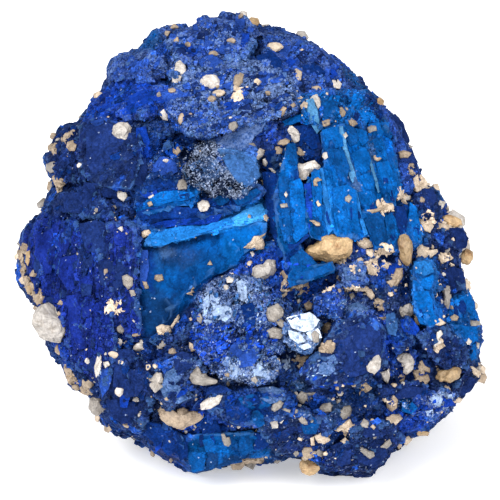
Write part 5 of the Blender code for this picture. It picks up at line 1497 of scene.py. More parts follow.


# ---------------------------------------------------------------------------------------------
# The pebbles: 21 worn bits of quartz and feldspar from the sandstone, held where the azurite grew
# round them. Each keeps its solid's place and form, chipped and pitted, and the larger ones are
# stretched to follow their drawn outlines.
# ---------------------------------------------------------------------------------------------

# Each kind of stone: its colour, the colour of its stains and flecks, how much of it they cover. The
# cream feldspar is in the sand only.
STONES = {
    "white_quartz": ("#a39d97", "#786c5f", 0.50),
    "grey_quartz": ("#7d7771", "#564e46", 0.50),
    "tan_feldspar": ("#907f6c", "#625241", 0.55),
    "honey_feldspar": ("#b99b72", "#80552c", 0.60),
    "cream_feldspar": ("#c2b09b", "#90775c", 0.50),
}

# How many of each pattern there are to a metre: clouds of stain 0.6 mm across, mottles 0.24 mm, and a
# grain of 0.1 mm that also pits the stone.
STAIN_CLOUDS = 1600.0
MOTTLES = 4200.0
STONE_GRAIN = 9000.0


def stone_material(finish):
    """A sand grain's stone: chalky to waxy, mottled, with darker stains in its pits."""
    base, stain, cover = STONES[finish]
    made, tree = new_material(finish)
    where = node(tree, "TexCoord").outputs["Object"]
    cloud = node(tree, "TexNoise", Vector=where, Scale=STAIN_CLOUDS, Detail=5.0,
                 Roughness=0.65).outputs["Fac"]
    grain = node(tree, "TexNoise", Vector=where, Scale=STONE_GRAIN, Detail=3.0,
                 Roughness=0.6).outputs["Fac"]
    tone = node(tree, "Attribute", attribute_name="tone").outputs["Fac"]
    stained = node(tree, "MapRange", Value=cloud, From_Min=0.62 - 0.2 * cover, From_Max=0.70, To_Min=0.0,
                   To_Max=0.8)
    colour = node(tree, "Mix", data_type="RGBA", i0=stained, i6=linear(base), i7=linear(stain)).outputs[2]
    shade = node(tree, "MapRange", Value=grain, From_Min=0.3, From_Max=0.7, To_Min=0.86, To_Max=1.10)
    mottle = node(tree, "TexNoise", Vector=where, Scale=MOTTLES, Detail=3.0,
                  Roughness=0.6).outputs["Fac"]
    mottle = node(tree, "MapRange", Value=mottle, From_Min=0.32, From_Max=0.68, To_Min=0.74, To_Max=1.24)
    toned = node(tree, "Math", operation="MULTIPLY", i0=shade, i1=tone)
    toned = node(tree, "Math", operation="MULTIPLY", i0=toned, i1=mottle)
    final = node(tree, "VectorMath", operation="SCALE", i0=colour, Scale=toned)
    pits = node(tree, "Bump", Strength=0.5, Distance=0.00004, Height=grain)
    shader = node(tree, "BsdfPrincipled", Base_Color=final, Roughness=0.55, Normal=pits)
    node(tree, "OutputMaterial", Surface=shader)
    return made


STONE_MATERIALS = {finish: stone_material(finish) for finish in STONES}


# The outlines of the larger pebbles on the drawing, chipped and notched as each one is.
PEBBLE_OUTLINES = {
    "tan_pebble_lower": (159,406, 163,403, 168,407, 173,412, 177,409, 184,407, 191,410, 197,412, 203,410,
        205,414, 203,420, 197,424, 189,426, 183,430, 173,428, 165,424, 160,418, 157,413),
    "grey_pebble_lower": (197,364, 201,372, 208,377, 218,382, 205,386, 192,384, 189,377, 193,370),
    "grey_pebble_diamond": (157,371, 161,373, 164,379, 163,387, 155,393, 149,386, 150,380),
    "white_pebble_left": (31,315, 36,307, 46,302, 56,305, 64,313, 68,323, 66,331, 63,342, 54,343, 43,340,
        34,332),
    "white_pebble_upper_left": (114,124, 121,122, 130,123, 132,130, 132,136, 128,140, 121,141, 114,138,
        111,131),
    "white_pebble_top": (198,79, 202,77, 206,74, 215,74, 219,78, 221,87, 216,92, 206,92, 200,88, 202,83),
    "white_pebble_middle": (251,270, 254,266, 264,264, 271,257, 276,261, 277,270, 273,276, 258,283,
        253,280),
    "honey_pebble_centre": (303,253, 312,242, 320,231, 333,229, 347,233, 353,240, 353,252, 344,261,
        333,265, 317,261, 306,259),
    "tan_pebble_lower_right": (434,373, 439,370, 455,366, 462,368, 460,377, 453,384, 442,383, 437,381),
    "white_pebble_lower_right": (366,365, 370,360, 377,353, 382,360, 381,368, 374,375, 367,372),
    "white_pebble_hooked": (396,358, 401,353, 410,353, 415,361, 413,370, 407,375, 402,372, 405,365,
        401,363),
    "tan_pebble_right": (396,239, 401,234, 407,234, 413,242, 413,255, 410,266, 403,265, 399,255),
    "tan_pebble_rim": (460,254, 466,248, 473,251, 474,258, 469,265, 462,265),
    "grey_pebble_right": (399,311, 404,305, 411,303, 415,309, 413,315, 407,320, 401,318),
    "grey_pebble_slot": (442,284, 448,285, 452,294, 450,305, 446,311, 443,304, 445,297, 442,290),
    "white_pebble_ribs": (288,166, 295,163, 303,164, 313,160, 321,162, 320,170, 311,173, 306,181, 299,181,
        295,173),
    "white_pebble_long": (286,128, 291,125, 297,128, 301,135, 299,143, 293,143, 290,137),
}

# These few have an outline with true corners and hollows; the others' outlines are followed loosely.
SHARP_PEBBLES = ("tan_pebble_lower", "grey_pebble_lower", "grey_pebble_diamond", "white_pebble_hooked")

# How light each pebble is beside others of its finish, and the tan ones stained as honey feldspar is.
PEBBLE_TONES = {
    "grey_pebble_corner": 1.2, "grey_pebble_diamond": 1.55, "grey_pebble_right": 1.35,
    "grey_pebble_round": 1.1, "honey_pebble_centre": 0.82, "tan_pebble_bottom": 0.88,
    "tan_pebble_east": 0.76, "tan_pebble_lower_right": 0.52, "tan_pebble_right": 0.5,
    # white_pebble_ribs is painted lighter, to make up for the shade it lies in.
    "tan_pebble_rim": 0.7, "white_pebble_left": 0.93, "white_pebble_ribs": 1.7, "white_pebble_top": 1.35,
}
HONEY_STAINED = (
    "tan_pebble_bottom", "tan_pebble_east", "tan_pebble_lower_right", "tan_pebble_right", "tan_pebble_rim",
)

# A pebble's chips and pits: how wide, how steep and how deep from one to the next; and how much it swells
# in all, since they only take away.
PEBBLE_CHIPS = (0.0011, 0.16, 0.00003)
PEBBLE_PITS = (0.0004, 0.22, 0.00003)
PEBBLE_SWELL = 0.00004

# An outline is compared with a pebble's rim in these directions. How far round each way the rim and the
# outline are searched, in radians, and how much a pebble may shrink or stretch.
WAYS = 37
RIM_SPREAD = {True: 0.12, False: 0.30}  # followed closely, or loosely
RING_SPREAD = {True: 0.09, False: 0.14}
SMOOTHING = (0.1, 0.2, 0.4, 0.2, 0.1)
STRETCH = (0.45, 1.6)


def fit_outline(mesh, corners, closely):
    """The pebble stretched, as the eye sees it, until its rim follows the ring of corners."""
    x, y, depth = drawn(read_points(mesh))
    ring = ragged_ring(corners, random.Random(1), 1.5, 0.15)
    middle = ring.mean(axis=0)
    centre = ((x.min() + x.max()) / 2.0, (y.min() + y.max()) / 2.0)
    ways = np.linspace(-math.pi, math.pi, WAYS)

    def reaches(across, up, spread):
        """The greatest reach in each direction, as a function of the direction."""
        turned, far = np.arctan2(up, across), np.hypot(across, up)
        off = [np.abs((turned - way + math.pi) % math.tau - math.pi) for way in ways]
        found = [far[near < spread].max(initial=0.0) for near in off]
        if not closely:
            found = np.convolve(np.r_[found[-3:-1], found, found[1:3]], SMOOTHING, "valid")
        return lambda asked: np.interp(asked, ways, found)

    across, up = x - centre[0], y - centre[1]
    own = reaches(across, up, RIM_SPREAD[closely])
    wanted = reaches(*(ring - middle).T, RING_SPREAD[closely])
    turned = np.arctan2(up, across)
    stretch = np.clip(wanted(turned) / np.maximum(own(turned), 0.5), *STRETCH)
    write_points(mesh, place(middle[0] + across * stretch, middle[1] + up * stretch, depth))


def weather_pebble(solid, finish):
    """The solid's mesh with small chips, pits and bumps on its flats."""
    bm = bmesh.new()
    bm.from_mesh(solid.data)
    bmesh.ops.remove_doubles(bm, verts=bm.verts, dist=1e-6)
    pebble = new_object("weathered_" + solid.name, bm)
    finer = pebble.modifiers.new("finer", "SUBSURF")
    finer.subdivision_type = "SIMPLE"
    finer.levels = finer.render_levels = 2
    settle(pebble)
    points, normals = read_points(pebble.data), read_normals(pebble.data)
    out = chips(points, *PEBBLE_CHIPS) + chips(points + 0.3, *PEBBLE_PITS) + PEBBLE_SWELL
    write_points(pebble.data, points + normals * out[:, None])
    write_attribute(pebble.data, "tone", np.full(len(points), PEBBLE_TONES.get(solid.name, 1.0)))
    if solid.name in PEBBLE_OUTLINES:
        corners = corners_of(PEBBLE_OUTLINES[solid.name])
        fit_outline(pebble.data, corners, solid.name in SHARP_PEBBLES)
    pebble.data.shade_flat()
    pebble.data.materials.clear()
    pebble.data.materials.append(STONE_MATERIALS[finish])
    return pebble


for name, solid in sorted(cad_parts.items()):
    if name == "azurite_mass":
        continue
    finish = next(known for known in STONES if known in solid.data.materials[0].name)
    pebble = weather_pebble(solid, "honey_feldspar" if name in HONEY_STAINED else finish)
    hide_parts(name)
    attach(pebble, "root")


# ---------------------------------------------------------------------------------------------
# The sand: quartz and feldspar grains of the sandstone, caught in the azurite as it grew. The ones
# that stand out on the show face are placed one by one; each sits sunk in the surface.
# ---------------------------------------------------------------------------------------------

# Single grains by finish: middle, half width and half height on the drawing.
GRAINS = {
    "white_quartz": (
        (166, 161, 3, 2), (122, 195, 5, 6), (80, 165, 3, 3), (88, 361, 3, 3), (118, 343, 4, 5),
        (119, 391, 4, 5), (139, 346, 6, 6), (226, 288, 3, 3), (231, 118, 2, 2),
    ),
    "cream_feldspar": (
        (257, 82, 4, 4), (113, 354, 5, 4), (446, 388, 5, 4), (219, 94, 6, 4), (274, 48, 9, 5),
        (98, 418, 3, 4), (300, 438, 3, 3),
    ),
    "tan_feldspar": (
        (172, 91, 4, 3), (212, 100, 4, 4), (181, 118, 3, 6), (54, 137, 4, 4), (53, 148, 5, 4),
        (60, 191, 3, 3), (174, 27, 4, 3), (168, 33, 3, 3), (177, 40, 3, 3), (188, 45, 3, 3),
        (214, 54, 5, 3), (232, 41, 5, 3), (317, 89, 5, 3), (377, 158, 4, 3), (422, 200, 3, 3),
        (407, 262, 5, 5), (34, 274, 5, 4), (58, 350, 3, 5), (172, 351, 5, 4), (87, 382, 6, 6),
        (76, 387, 4, 5), (126, 425, 4, 3), (136, 335, 4, 2), (152, 453, 3, 4), (62, 303, 5, 3),
        (106, 272, 2, 4),
    ),
    "grey_quartz": (
        (234, 127, 5, 5), (163, 345, 6, 5), (160, 95, 3, 3), (121, 329, 4, 4),
    ),
    "honey_feldspar": (
        (341, 280, 3, 3), (70, 373, 4, 4),
    ),
}

# Larger and odd-shaped grains by finish: each the corners of its outline on the drawing.
SHAPED_GRAINS = {
    "white_quartz": (
        (309,100, 313,95, 317,94, 320,99, 321,106, 318,109, 315,103, 311,102),
        (323,153, 327,152, 328,157, 325,160, 322,157), (343,134, 346,132, 348,136, 345,139),
        (255,152, 260,148, 265,150, 263,156, 258,160, 255,158),
        (262,158, 265,158, 268,163, 266,167, 263,165), (268,168, 272,168, 276,172, 274,174),
        (284,194, 286,191, 288,195, 286,198),
        (197,203, 202,200, 208,201, 210,206, 207,211, 201,212, 198,208),
        (148,197, 153,194, 154,196, 149,199), (225,278, 229,276, 234,279, 232,283, 227,283),
        (250,252, 253,251, 255,255, 252,257),
        (380,372, 385,371, 389,368, 391,374, 388,384, 384,381, 382,376),
        (431,340, 436,338, 437,332, 441,330, 443,334, 439,339, 443,343, 437,345, 434,352, 433,345),
        (465,341, 469,338, 472,341, 470,345, 466,345), (436,206, 440,200, 446,202, 443,208, 438,212),
        (270,422, 274,419, 278,421, 278,428, 272,429), (276,417, 281,416, 284,420, 281,424, 278,421),
        (200,404, 206,399, 213,395, 223,395, 219,404, 210,409, 201,410),
        (97,356, 101,354, 102,362, 100,374, 96,378, 94,368), (103,362, 108,361, 110,365, 105,369),
        (399,198, 405,195, 411,196, 410,200, 403,201),
        (167,72, 171,68, 175,67, 176,62, 180,60, 185,65, 187,72, 184,76, 179,74, 175,71, 170,75),
        (172,77, 178,74, 182,76, 180,82, 175,85, 172,82),
        (160,112, 164,109, 168,115, 168,121, 163,120, 160,116), (332,80, 338,79, 342,84, 340,89, 334,88),
        (337,393, 341,390, 344,393, 342,396, 338,396),
    ),
    "cream_feldspar": (
        (376,200, 379,199, 381,205, 378,208, 376,204),
        (356,234, 362,236, 372,240, 373,247, 364,249, 358,246, 356,240),
        (366,249, 373,249, 376,256, 371,258, 366,254), (357,259, 361,257, 364,260, 361,263, 357,262),
        (243,248, 250,242, 254,236, 262,236, 265,244, 264,249, 256,250, 250,249),
        (140,234, 144,230, 149,229, 152,233, 149,236, 143,238),
        (156,327, 162,324, 170,326, 172,332, 166,336, 158,335),
        (170,327, 174,320, 179,314, 180,318, 175,325, 172,329),
        (366,262, 371,260, 372,266, 379,270, 374,276, 368,274, 366,268),
        (341,288, 346,284, 353,286, 348,290, 343,292),
        (357,287, 366,286, 372,290, 375,296, 372,300, 367,296, 364,290, 358,291),
        (419,218, 424,220, 432,222, 434,226, 430,233, 424,231, 421,225),
        (433,226, 437,222, 446,224, 452,226, 446,231, 438,231, 434,229),
        (415,250, 420,242, 424,246, 428,247, 430,252, 437,249, 438,252, 432,257, 426,260, 420,257, 416,258),
        (440,263, 446,258, 451,254, 450,259, 446,262), (434,320, 440,318, 446,323, 440,326, 435,325),
        (413,178, 418,174, 420,184, 428,186, 424,193, 416,192, 413,186),
        (463,280, 467,278, 470,284, 467,290, 463,288),
        (334,430, 339,426, 344,422, 350,419, 354,426, 355,436, 350,433, 344,428, 338,432),
        (314,436, 320,432, 326,434, 331,440, 325,444, 318,443), (310,438, 314,436, 315,445, 311,446),
        (340,441, 345,437, 350,442, 344,444), (450,398, 456,396, 463,399, 460,403, 450,403),
        (465,366, 472,366, 480,371, 479,378, 474,375), (300,105, 304,101, 308,103, 307,108, 301,109),
        (297,98, 301,96, 304,98, 300,100), (316,202, 318,200, 321,205, 318,207),
        (263,216, 266,214, 269,218, 267,222, 264,220), (229,272, 232,270, 234,274, 233,279, 230,277),
        (189,342, 193,344, 195,351, 191,352, 189,347), (189,318, 192,317, 193,321, 190,321),
        (386,418, 392,414, 400,414, 403,418, 397,424, 393,431, 388,431, 386,424),
        (93,94, 99,91, 104,94, 101,98, 94,98), (292,73, 296,68, 302,72, 301,80, 296,82, 293,78),
    ),
    "tan_feldspar": (
        (277,144, 280,140, 286,138, 290,140, 289,144, 283,146),
        (275,147, 280,146, 283,150, 281,154, 276,155, 275,151),
        (294,148, 299,147, 304,152, 306,155, 300,156, 295,153),
        (322,121, 328,119, 332,120, 330,125, 325,127, 322,126),
        (338,108, 342,107, 346,112, 345,116, 342,118, 339,115, 337,112),
        (347,120, 352,118, 356,121, 358,124, 353,127, 350,125),
        (279,114, 280,110, 283,106, 287,108, 285,113, 282,117),
        (314,179, 318,177, 322,180, 317,182, 318,186, 314,186, 313,182),
        (309,220, 314,220, 320,223, 320,226, 316,226), (154,279, 155,275, 162,274, 164,280, 158,282),
        (142,281, 147,282, 149,288, 145,289), (207,265, 210,260, 213,265),
        (303,305, 308,301, 313,304, 312,309, 307,311),
        (320,326, 327,322, 334,324, 333,332, 326,336, 322,331),
        (296,358, 303,356, 310,355, 306,360, 306,368, 303,369, 301,362),
        (322,346, 327,340, 332,340, 333,350, 330,354, 326,349),
        (396,268, 403,268, 403,276, 400,282, 396,287, 391,288, 386,282, 392,279),
        (450,317, 454,314, 459,317, 457,321, 451,321), (414,318, 417,316, 420,325, 416,325),
        (398,377, 401,373, 405,376, 404,382, 399,383),
        (419,362, 422,360, 424,366, 430,368, 430,373, 424,371),
        (386,403, 390,396, 394,395, 398,400, 397,408, 392,412, 387,408),
        (370,427, 373,424, 376,427, 374,430),
        (230,464, 236,463, 240,464, 246,458, 250,453, 256,455, 262,460, 254,462, 246,464, 241,470, 232,470),
        (169,460, 171,456, 173,460, 171,464), (397,446, 400,440, 402,446, 399,450),
        (398,152, 404,150, 412,153, 408,158, 400,158), (244,74, 240,72, 234,76, 233,84, 238,88, 243,82),
        (147,203, 151,201, 153,205, 149,207), (67,142, 73,140, 77,145, 75,151, 69,151, 66,147),
        (104,426, 109,424, 112,430, 108,433, 104,431), (173,148, 178,146, 181,151, 177,156, 173,153),
        (364,210, 370,210, 380,208, 388,203, 393,203, 388,209, 378,212, 371,214, 365,212),
        (290,105, 294,102, 296,105, 293,108), (281,272, 285,268, 288,274, 287,282, 283,278),
        (258,237, 267,232, 264,236, 260,239), (414,380, 419,375, 428,374, 430,380, 426,385, 418,385),
    ),
    "grey_quartz": (
        (367,128, 371,125, 376,126, 377,131, 373,135, 369,133),
        (177,186, 179,180, 183,179, 187,183, 187,189, 178,190),
        (249,143, 254,143, 257,147, 253,150, 249,149), (275,321, 280,318, 285,322, 284,329, 280,327),
        (266,331, 273,327, 282,329, 285,334, 280,339, 270,338),
        (196,315, 200,313, 203,318, 201,324, 197,322),
        (311,334, 315,330, 320,334, 319,342, 314,343, 312,338),
        (353,286, 358,284, 360,290, 356,294, 353,290), (349,294, 353,293, 355,297, 351,300),
        (462,322, 470,320, 480,321, 481,325, 472,327, 464,325),
        (319,409, 322,404, 330,401, 333,405, 331,412, 322,413),
        (340,411, 344,406, 350,405, 352,410, 350,417, 343,420, 340,416),
        (296,396, 301,391, 307,393, 308,399, 303,404, 297,401),
        (360,424, 364,418, 369,422, 368,428, 362,427), (298,419, 302,416, 307,421, 308,425, 302,424),
        (357,446, 362,446, 368,450, 374,452, 375,456, 370,459, 364,455, 359,450),
        (380,447, 386,441, 390,439, 392,444, 386,449), (293,453, 297,449, 299,454, 296,457),
        (316,452, 319,448, 322,449, 325,453, 322,457, 318,456),
        (221,434, 224,433, 226,437, 230,437, 231,444, 228,447, 224,445, 222,440),
        (271,409, 273,404, 280,400, 284,403, 281,408, 274,412), (191,428, 194,424, 197,427, 194,431),
        (226,384, 228,380, 230,384, 228,387), (122,276, 127,274, 133,278, 133,286, 128,290, 123,284),
        (129,290, 134,290, 136,295, 131,297), (46,164, 54,161, 60,166, 58,172, 50,173, 46,170),
        (306,393, 316,392, 314,395, 307,396), (280,204, 287,203, 288,207, 281,208),
        (345,197, 349,194, 352,198, 349,203, 345,201), (251,378, 255,376, 258,380, 256,384, 252,382),
        (281,409, 286,408, 291,410, 290,413, 285,411),
    ),
    "honey_feldspar": (
        (377,99, 380,97, 384,100, 384,105, 380,107, 377,104),
        (415,430, 419,427, 424,431, 430,432, 428,436, 418,436),
        (247,20, 251,17, 258,18, 260,23, 256,27, 250,26), (26,252, 30,250, 31,258, 28,266, 25,262),
        (26,286, 34,284, 38,290, 32,296, 27,292),
    ),
}

# How light the single grains are beside the pebbles of their finish, and how far a drawn ellipse is from
# the grain's own rim.
GRAIN_TONES = {
    # The white quartz grains are partly painted lighter, to make up for the shade some of them lie in.
    "white_quartz": 1.25, "cream_feldspar": 0.84, "tan_feldspar": 0.96, "grey_quartz": 1.05,
    "honey_feldspar": 0.66,
}
GRAIN_SWELL = 1.12

# A shaped grain from its peak to its back, ring by ring: how large the ring is beside the outline, and how
# high it lies beside the grain's thickness. The thickness is at most THICKEST, and the grain stands
# PROUD of the surface.
GRAIN_RINGS = ((0.0, 0.62), (0.42, 0.58), (0.76, 0.42), (0.94, 0.14), (1.0, -0.2), (0.9, -1.0))
THICKEST = 5.5
PROUD = 1.1


def worn_grain(dice, subdivisions):
    """A grain one unit in half size, broken flat in places and bitten in others: points and faces."""
    bm = bmesh.new()
    bmesh.ops.create_icosphere(bm, subdivisions=subdivisions, radius=1.0)
    ways = np.array([vert.co.normalized() for vert in bm.verts])
    faces = [[vert.index for vert in face.verts] for face in bm.faces]
    bm.free()
    reach = np.full(len(ways), 1.0)
    for _ in range(10):
        normal = np.array([dice.gauss(0, 1) for _ in range(3)])
        facing = ways @ (normal / np.linalg.norm(normal))
        reach = np.minimum(reach, dice.uniform(0.50, 0.85) / np.maximum(facing, 0.05))
    for _ in range(2):
        normal = np.array([dice.gauss(0, 1) for _ in range(3)])
        facing = ways @ (normal / np.linalg.norm(normal))
        reach *= 1.0 - dice.uniform(0.05, 0.28) * np.exp(-((1.0 - facing) / 0.10) ** 2)
    points = ways * reach[:, None]
    return points / np.abs(points).max(axis=0), faces


def add_grain(made, dice, x, y, half_width, half_height):
    """One grain sunk in the surface where the eye sees it, to the arrays of its piece."""
    points, faces = worn_grain(dice, 3)
    turn = dice.uniform(-0.35, 0.35)
    across = points[:, 0] * math.cos(turn) - points[:, 1] * math.sin(turn)
    up = points[:, 0] * math.sin(turn) + points[:, 1] * math.cos(turn)
    thick = min(half_width, half_height) * 0.85
    depth = seen_surface(x, y) + thick * dice.uniform(0.0, 0.35)
    placed = place(x + across * half_width, y - up * half_height, depth + points[:, 2] * thick)
    start = made["count"]
    made["points"].append(placed)
    made["faces"] += [[start + index for index in face] for face in faces]
    made["tones"].append(np.full(len(placed), dice.uniform(0.82, 1.12) * made["tone"]))
    made["count"] += len(placed)


def add_shaped_grain(made, dice, corners):
    """One grain with a drawn outline: a flattish broken lump, domed a little and chipped all over."""
    ring = ragged_ring(corners, dice, 1.6, 0.3)
    middle = ring.mean(axis=0)
    plane = surface_plane(ring)
    reach = float(np.median(np.hypot(*(ring - middle).T)))
    thick = min(reach * 0.8, THICKEST)
    peak = middle + np.array((dice.uniform(-0.25, 0.25), dice.uniform(-0.25, 0.25))) * reach
    rows = []
    for share, rise in GRAIN_RINGS:
        centre = peak * (1.0 - share) + middle * share
        x, y = (centre + (ring - centre) * share).T if share else centre[:, None] + np.zeros((2, 1))
        own = np.array([dice.uniform(-0.10, 0.10) for _ in x]) * thick
        rows.append(place(x, y, plane(x, y) + thick * rise + PROUD + own))
    start, count = made["count"], len(ring)
    first, bands = start + 1, len(GRAIN_RINGS) - 2
    made["points"] += rows
    for i in range(count):
        j = (i + 1) % count
        made["faces"].append([start, first + i, first + j])
        for row in range(bands):
            near, far = first + row * count, first + (row + 1) * count
            made["faces"] += [[near + i, far + i, far + j], [near + i, far + j, near + j]]
    made["faces"].append([first + bands * count + i for i in reversed(range(count))])
    total = 1 + (bands + 1) * count
    made["tones"].append(np.full(total, dice.uniform(0.86, 1.14) * made["tone"]))
    made["count"] += total


def grains_piece(name, made, finish):
    """The grains gathered so far as one piece of this finish."""
    mesh = gathered_mesh(name, made)
    write_attribute(mesh, "tone", np.concatenate(made["tones"]))
    stand_on_floor(mesh)
    mesh.materials.append(STONE_MATERIALS[finish])
    piece = shown(mesh)
    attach(piece, "root")


for finish in sorted(GRAINS):
    dice = random.Random("grains " + finish)
    gathered = {"points": [], "faces": [], "tones": [], "count": 0, "tone": GRAIN_TONES[finish]}
    for x, y, half_width, half_height in GRAINS[finish]:
        add_grain(gathered, dice, x, y, half_width * GRAIN_SWELL, half_height * GRAIN_SWELL)
    for numbers in SHAPED_GRAINS[finish]:
        add_shaped_grain(gathered, dice, corners_of(numbers))
    grains_piece("sand_" + finish, gathered, finish)


# ---------------------------------------------------------------------------------------------
# The crusts: fine sand in its own cement, left in the seams between crystals. Each is a skin of
# feldspar 0.1 to 0.2 mm thick, stuck to the azurite and crumbling away at its edges.
# ---------------------------------------------------------------------------------------------

# By stone: middle, half width and half height on the drawing.
CRUSTS = {
    "cream_feldspar": (
        (366, 290, 14, 8), (346, 427, 9, 6), (388, 264, 6, 7), (356, 272, 7, 4), (344, 260, 6, 4),
        (408, 276, 5, 5), (330, 292, 8, 3), (392, 298, 5, 4), (376, 236, 5, 4), (374, 268, 8, 9),
        (428, 250, 12, 8), (424, 224, 10, 7), (418, 186, 6, 9), (386, 208, 10, 5), (404, 198, 8, 5),
        (444, 227, 8, 5), (400, 262, 6, 9), (384, 250, 8, 6), (116, 310, 6, 9), (446, 260, 6, 4),
        (238, 94, 8, 5), (284, 288, 8, 8), (350, 288, 10, 4), (436, 346, 6, 7), (468, 284, 4, 7),
        (454, 404, 7, 5), (390, 404, 5, 8),
    ),
    "tan_feldspar": (
        (28, 286, 8, 10), (24, 262, 5, 12), (36, 300, 8, 6), (396, 278, 7, 9), (300, 287, 13, 4),
        (378, 300, 7, 6), (386, 318, 6, 5), (190, 298, 4, 12), (72, 374, 7, 9), (60, 184, 6, 4),
        (66, 136, 5, 4), (252, 460, 10, 4), (308, 452, 8, 4), (328, 348, 6, 8), (302, 362, 6, 7),
        (410, 168, 6, 8), (86, 390, 8, 5), (366, 388, 9, 3), (420, 372, 8, 6), (180, 164, 4, 4),
        (56, 150, 4, 5),
    ),
}

# The crumbs a crust breaks away by, their clumps, and the patches of lighter and darker sand, across.
CRUST_CRUMB = 0.00052
CRUST_CLUMP = 0.0010
CRUST_PATCH = 0.0006

# How thick a crust is, how much of it stands over the azurite and at least does, and its lumps and pits:
# how wide, how steep and how deep from one to the next.
CRUST_THICKNESS = 3.0 * UNIT
CRUST_STAND = 2.0 * UNIT
CRUST_LEAST = 0.3 * UNIT
CRUST_LUMPS = (0.0007, 0.35, 0.00010)
CRUST_PITS = (0.0003, 0.4, 0.00004)
DEPTH_REACH = 9.0  # a crust spreads over steps of the stone up to this deep, and its own size


def crust_piece(name, patches, finish):
    """Sandy cement on the azurite: a thin lumpy shell that follows the stone and frays at its edges."""
    mesh = azurite.data
    points = read_points(mesh)
    faces = np.array([tuple(face.vertices) for face in mesh.polygons])
    centres = points[faces].mean(axis=1)
    x, y, depth = drawn(centres)
    cell = fracture_cells(centres, CRUST_CRUMB)[1]
    clump = fracture_cells(centres + 0.5, CRUST_CLUMP)[1]
    _names, whole = np.unique(cell, axis=0, return_inverse=True)
    whole = whole.ravel()
    share = 1.0 / np.maximum(np.bincount(whole), 1)
    x, y, depth = (np.bincount(whole, part) * share for part in (x, y, depth))
    ragged = np.bincount(whole, hashed(cell, 31) * 0.42 + hashed(clump, 32) * 0.80) * share
    chosen = np.zeros(len(x), bool)
    for middle_x, middle_y, half_width, half_height in patches:
        far = ((x - middle_x) / half_width) ** 2 + ((y - middle_y) / half_height) ** 2
        reach = DEPTH_REACH + max(half_width, half_height)
        near = np.abs(depth - seen_surface(middle_x, middle_y)) < reach
        chosen |= (far * 0.62 + ragged < 1.0) & near
    chosen = chosen[whole]
    kept, index = np.unique(faces[chosen], return_inverse=True)
    shell = bpy.data.meshes.new(name)
    shell.from_pydata(points[kept].tolist(), [], index.reshape(-1, 3).tolist())
    shell.update()
    piece = shown(shell)
    finer = piece.modifiers.new("finer", "SUBSURF")
    finer.subdivision_type = "SIMPLE"
    finer.levels = finer.render_levels = 1
    settle(piece)
    points, normals = read_points(piece.data), read_normals(piece.data)
    lumps = CRUST_STAND + chips(points, *CRUST_LUMPS) + chips(points + 0.2, *CRUST_PITS)
    write_points(piece.data, points + normals * np.maximum(lumps, CRUST_LEAST)[:, None])
    thick = piece.modifiers.new("thick", "SOLIDIFY")
    thick.thickness = CRUST_THICKNESS
    thick.offset = -1.0
    settle(piece)
    stand_on_floor(piece.data)
    cell = fracture_cells(read_points(piece.data), CRUST_PATCH)[1]
    write_attribute(piece.data, "tone", 0.82 + 0.34 * hashed(cell, 33))
    piece.data.shade_flat()
    piece.data.materials.clear()
    piece.data.materials.append(STONE_MATERIALS[finish])
    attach(piece, "root")


for finish, patches in sorted(CRUSTS.items()):
    crust_piece("crust_" + finish, patches, finish)


# ---------------------------------------------------------------------------------------------
# The rest of the sand: quartz and feldspar grains held in the surface where the mass broke out of the
# sandstone. Those on the sides and back are 0.2 to 1.2 mm across, those on the front 0.1 to 0.4 mm.
# ---------------------------------------------------------------------------------------------

# Which attribute of the mass asks for the grains, how many to a square metre, the smallest and the
# largest half size in units; and each stone's share of them.
STREWN_SAND = (("sandy_sides", 4.2e5, 1.8, 9.5), ("sandy_front", 1.1e6, 0.7, 3.0))
SHARES = {"white_quartz": 0.25, "cream_feldspar": 0.30, "tan_feldspar": 0.20, "grey_quartz": 0.25}

for seed, (finish, share) in enumerate(SHARES.items(), start=20):
    for where, crowd, smallest, largest in STREWN_SAND:
        piece = strew(where + "_" + finish, azurite, STONE_MATERIALS[finish], Where=where,
                      Grains_per_Square_Metre=crowd * share, Seed=seed, Smallest=smallest * UNIT,
                      Largest=largest * UNIT, Blocky=False, Stand=0.1)
        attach(piece, "root")


# ---------------------------------------------------------------------------------------------
# What it is shown on: a pale acrylic floor under soft studio light from the upper left, seen as a
# camera on a copy stand sees it.
# ---------------------------------------------------------------------------------------------

FLOOR_HALF = 0.6
FLOOR_WHITE = "#f4f4f4"
FLOOR_GLOW = 0.42
AIR_LIGHT = 0.64

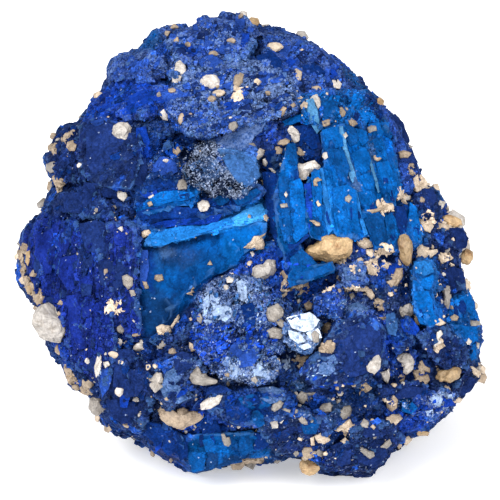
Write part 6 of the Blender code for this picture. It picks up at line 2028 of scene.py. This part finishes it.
# The soft lights: how large, what they are turned to, and where each is and how many watts it gives.
LIGHT_SIZE = 0.30
LIT = Vector((0.0, 0.0, 0.012))
LIGHTS = {
    "key_light": ((-0.20, -0.34, 0.38), 3.45),
    "fill_light": ((0.26, -0.34, 0.28), 1.6),
    "low_light": ((-0.05, -0.60, 0.10), 1.2),
}

# The camera: its film's width in millimetres, how many units of the drawing it shows, and how far the view
# is shifted, as a share of it.
FILM = 36.0
SHOWN = 500.0
SHIFTED = -0.006


def acrylic_material():
    """Matt white acrylic, lit faintly from below."""
    made, tree = new_material("lit_acrylic")
    white = linear(FLOOR_WHITE)
    where = node(tree, "TexCoord").outputs["Object"]
    fibre = node(tree, "TexNoise", Vector=where, Scale=1500.0, Detail=2.0)
    tooth = node(tree, "Bump", Strength=0.05, Distance=0.00002, Height=fibre.outputs["Fac"])
    shader = node(tree, "BsdfPrincipled", Base_Color=white, Roughness=0.9, Normal=tooth,
                  Emission_Color=white, Emission_Strength=FLOOR_GLOW)
    node(tree, "OutputMaterial", Surface=shader)
    return made


bm = bmesh.new()
bmesh.ops.create_grid(bm, x_segments=1, y_segments=1, size=FLOOR_HALF)
floor = new_object("floor", bm)
floor.data.materials.append(acrylic_material())

world = bpy.data.worlds.new("studio")
world.use_nodes = True
world.node_tree.nodes["Background"].inputs["Color"].default_value = (1.0, 1.0, 1.0, 1.0)
world.node_tree.nodes["Background"].inputs["Strength"].default_value = AIR_LIGHT
bpy.context.scene.world = world


for name, (where, power) in LIGHTS.items():
    light = bpy.data.lights.new(name, "AREA")
    light.size = LIGHT_SIZE
    light.energy = power
    lamp = bpy.data.objects.new(name, light)
    lamp.location = where
    lamp.rotation_euler = (LIT - Vector(where)).to_track_quat("-Z", "Y").to_euler()
    bpy.context.scene.collection.objects.link(lamp)

camera_data = bpy.data.cameras.new("camera")
camera_data.sensor_width = FILM
camera_data.lens = FILM * EYE_DISTANCE / (SHOWN * UNIT)
camera_data.shift_y = SHIFTED
camera_data.clip_start = 0.01
camera = bpy.data.objects.new("camera", camera_data)
camera.location = CENTRE + TOWARDS * EYE_DISTANCE
camera.rotation_euler = Vector(-TOWARDS).to_track_quat("-Z", "Y").to_euler()
bpy.context.scene.collection.objects.link(camera)
bpy.context.scene.camera = camera
bpy.context.scene.view_settings.view_transform = "Standard"
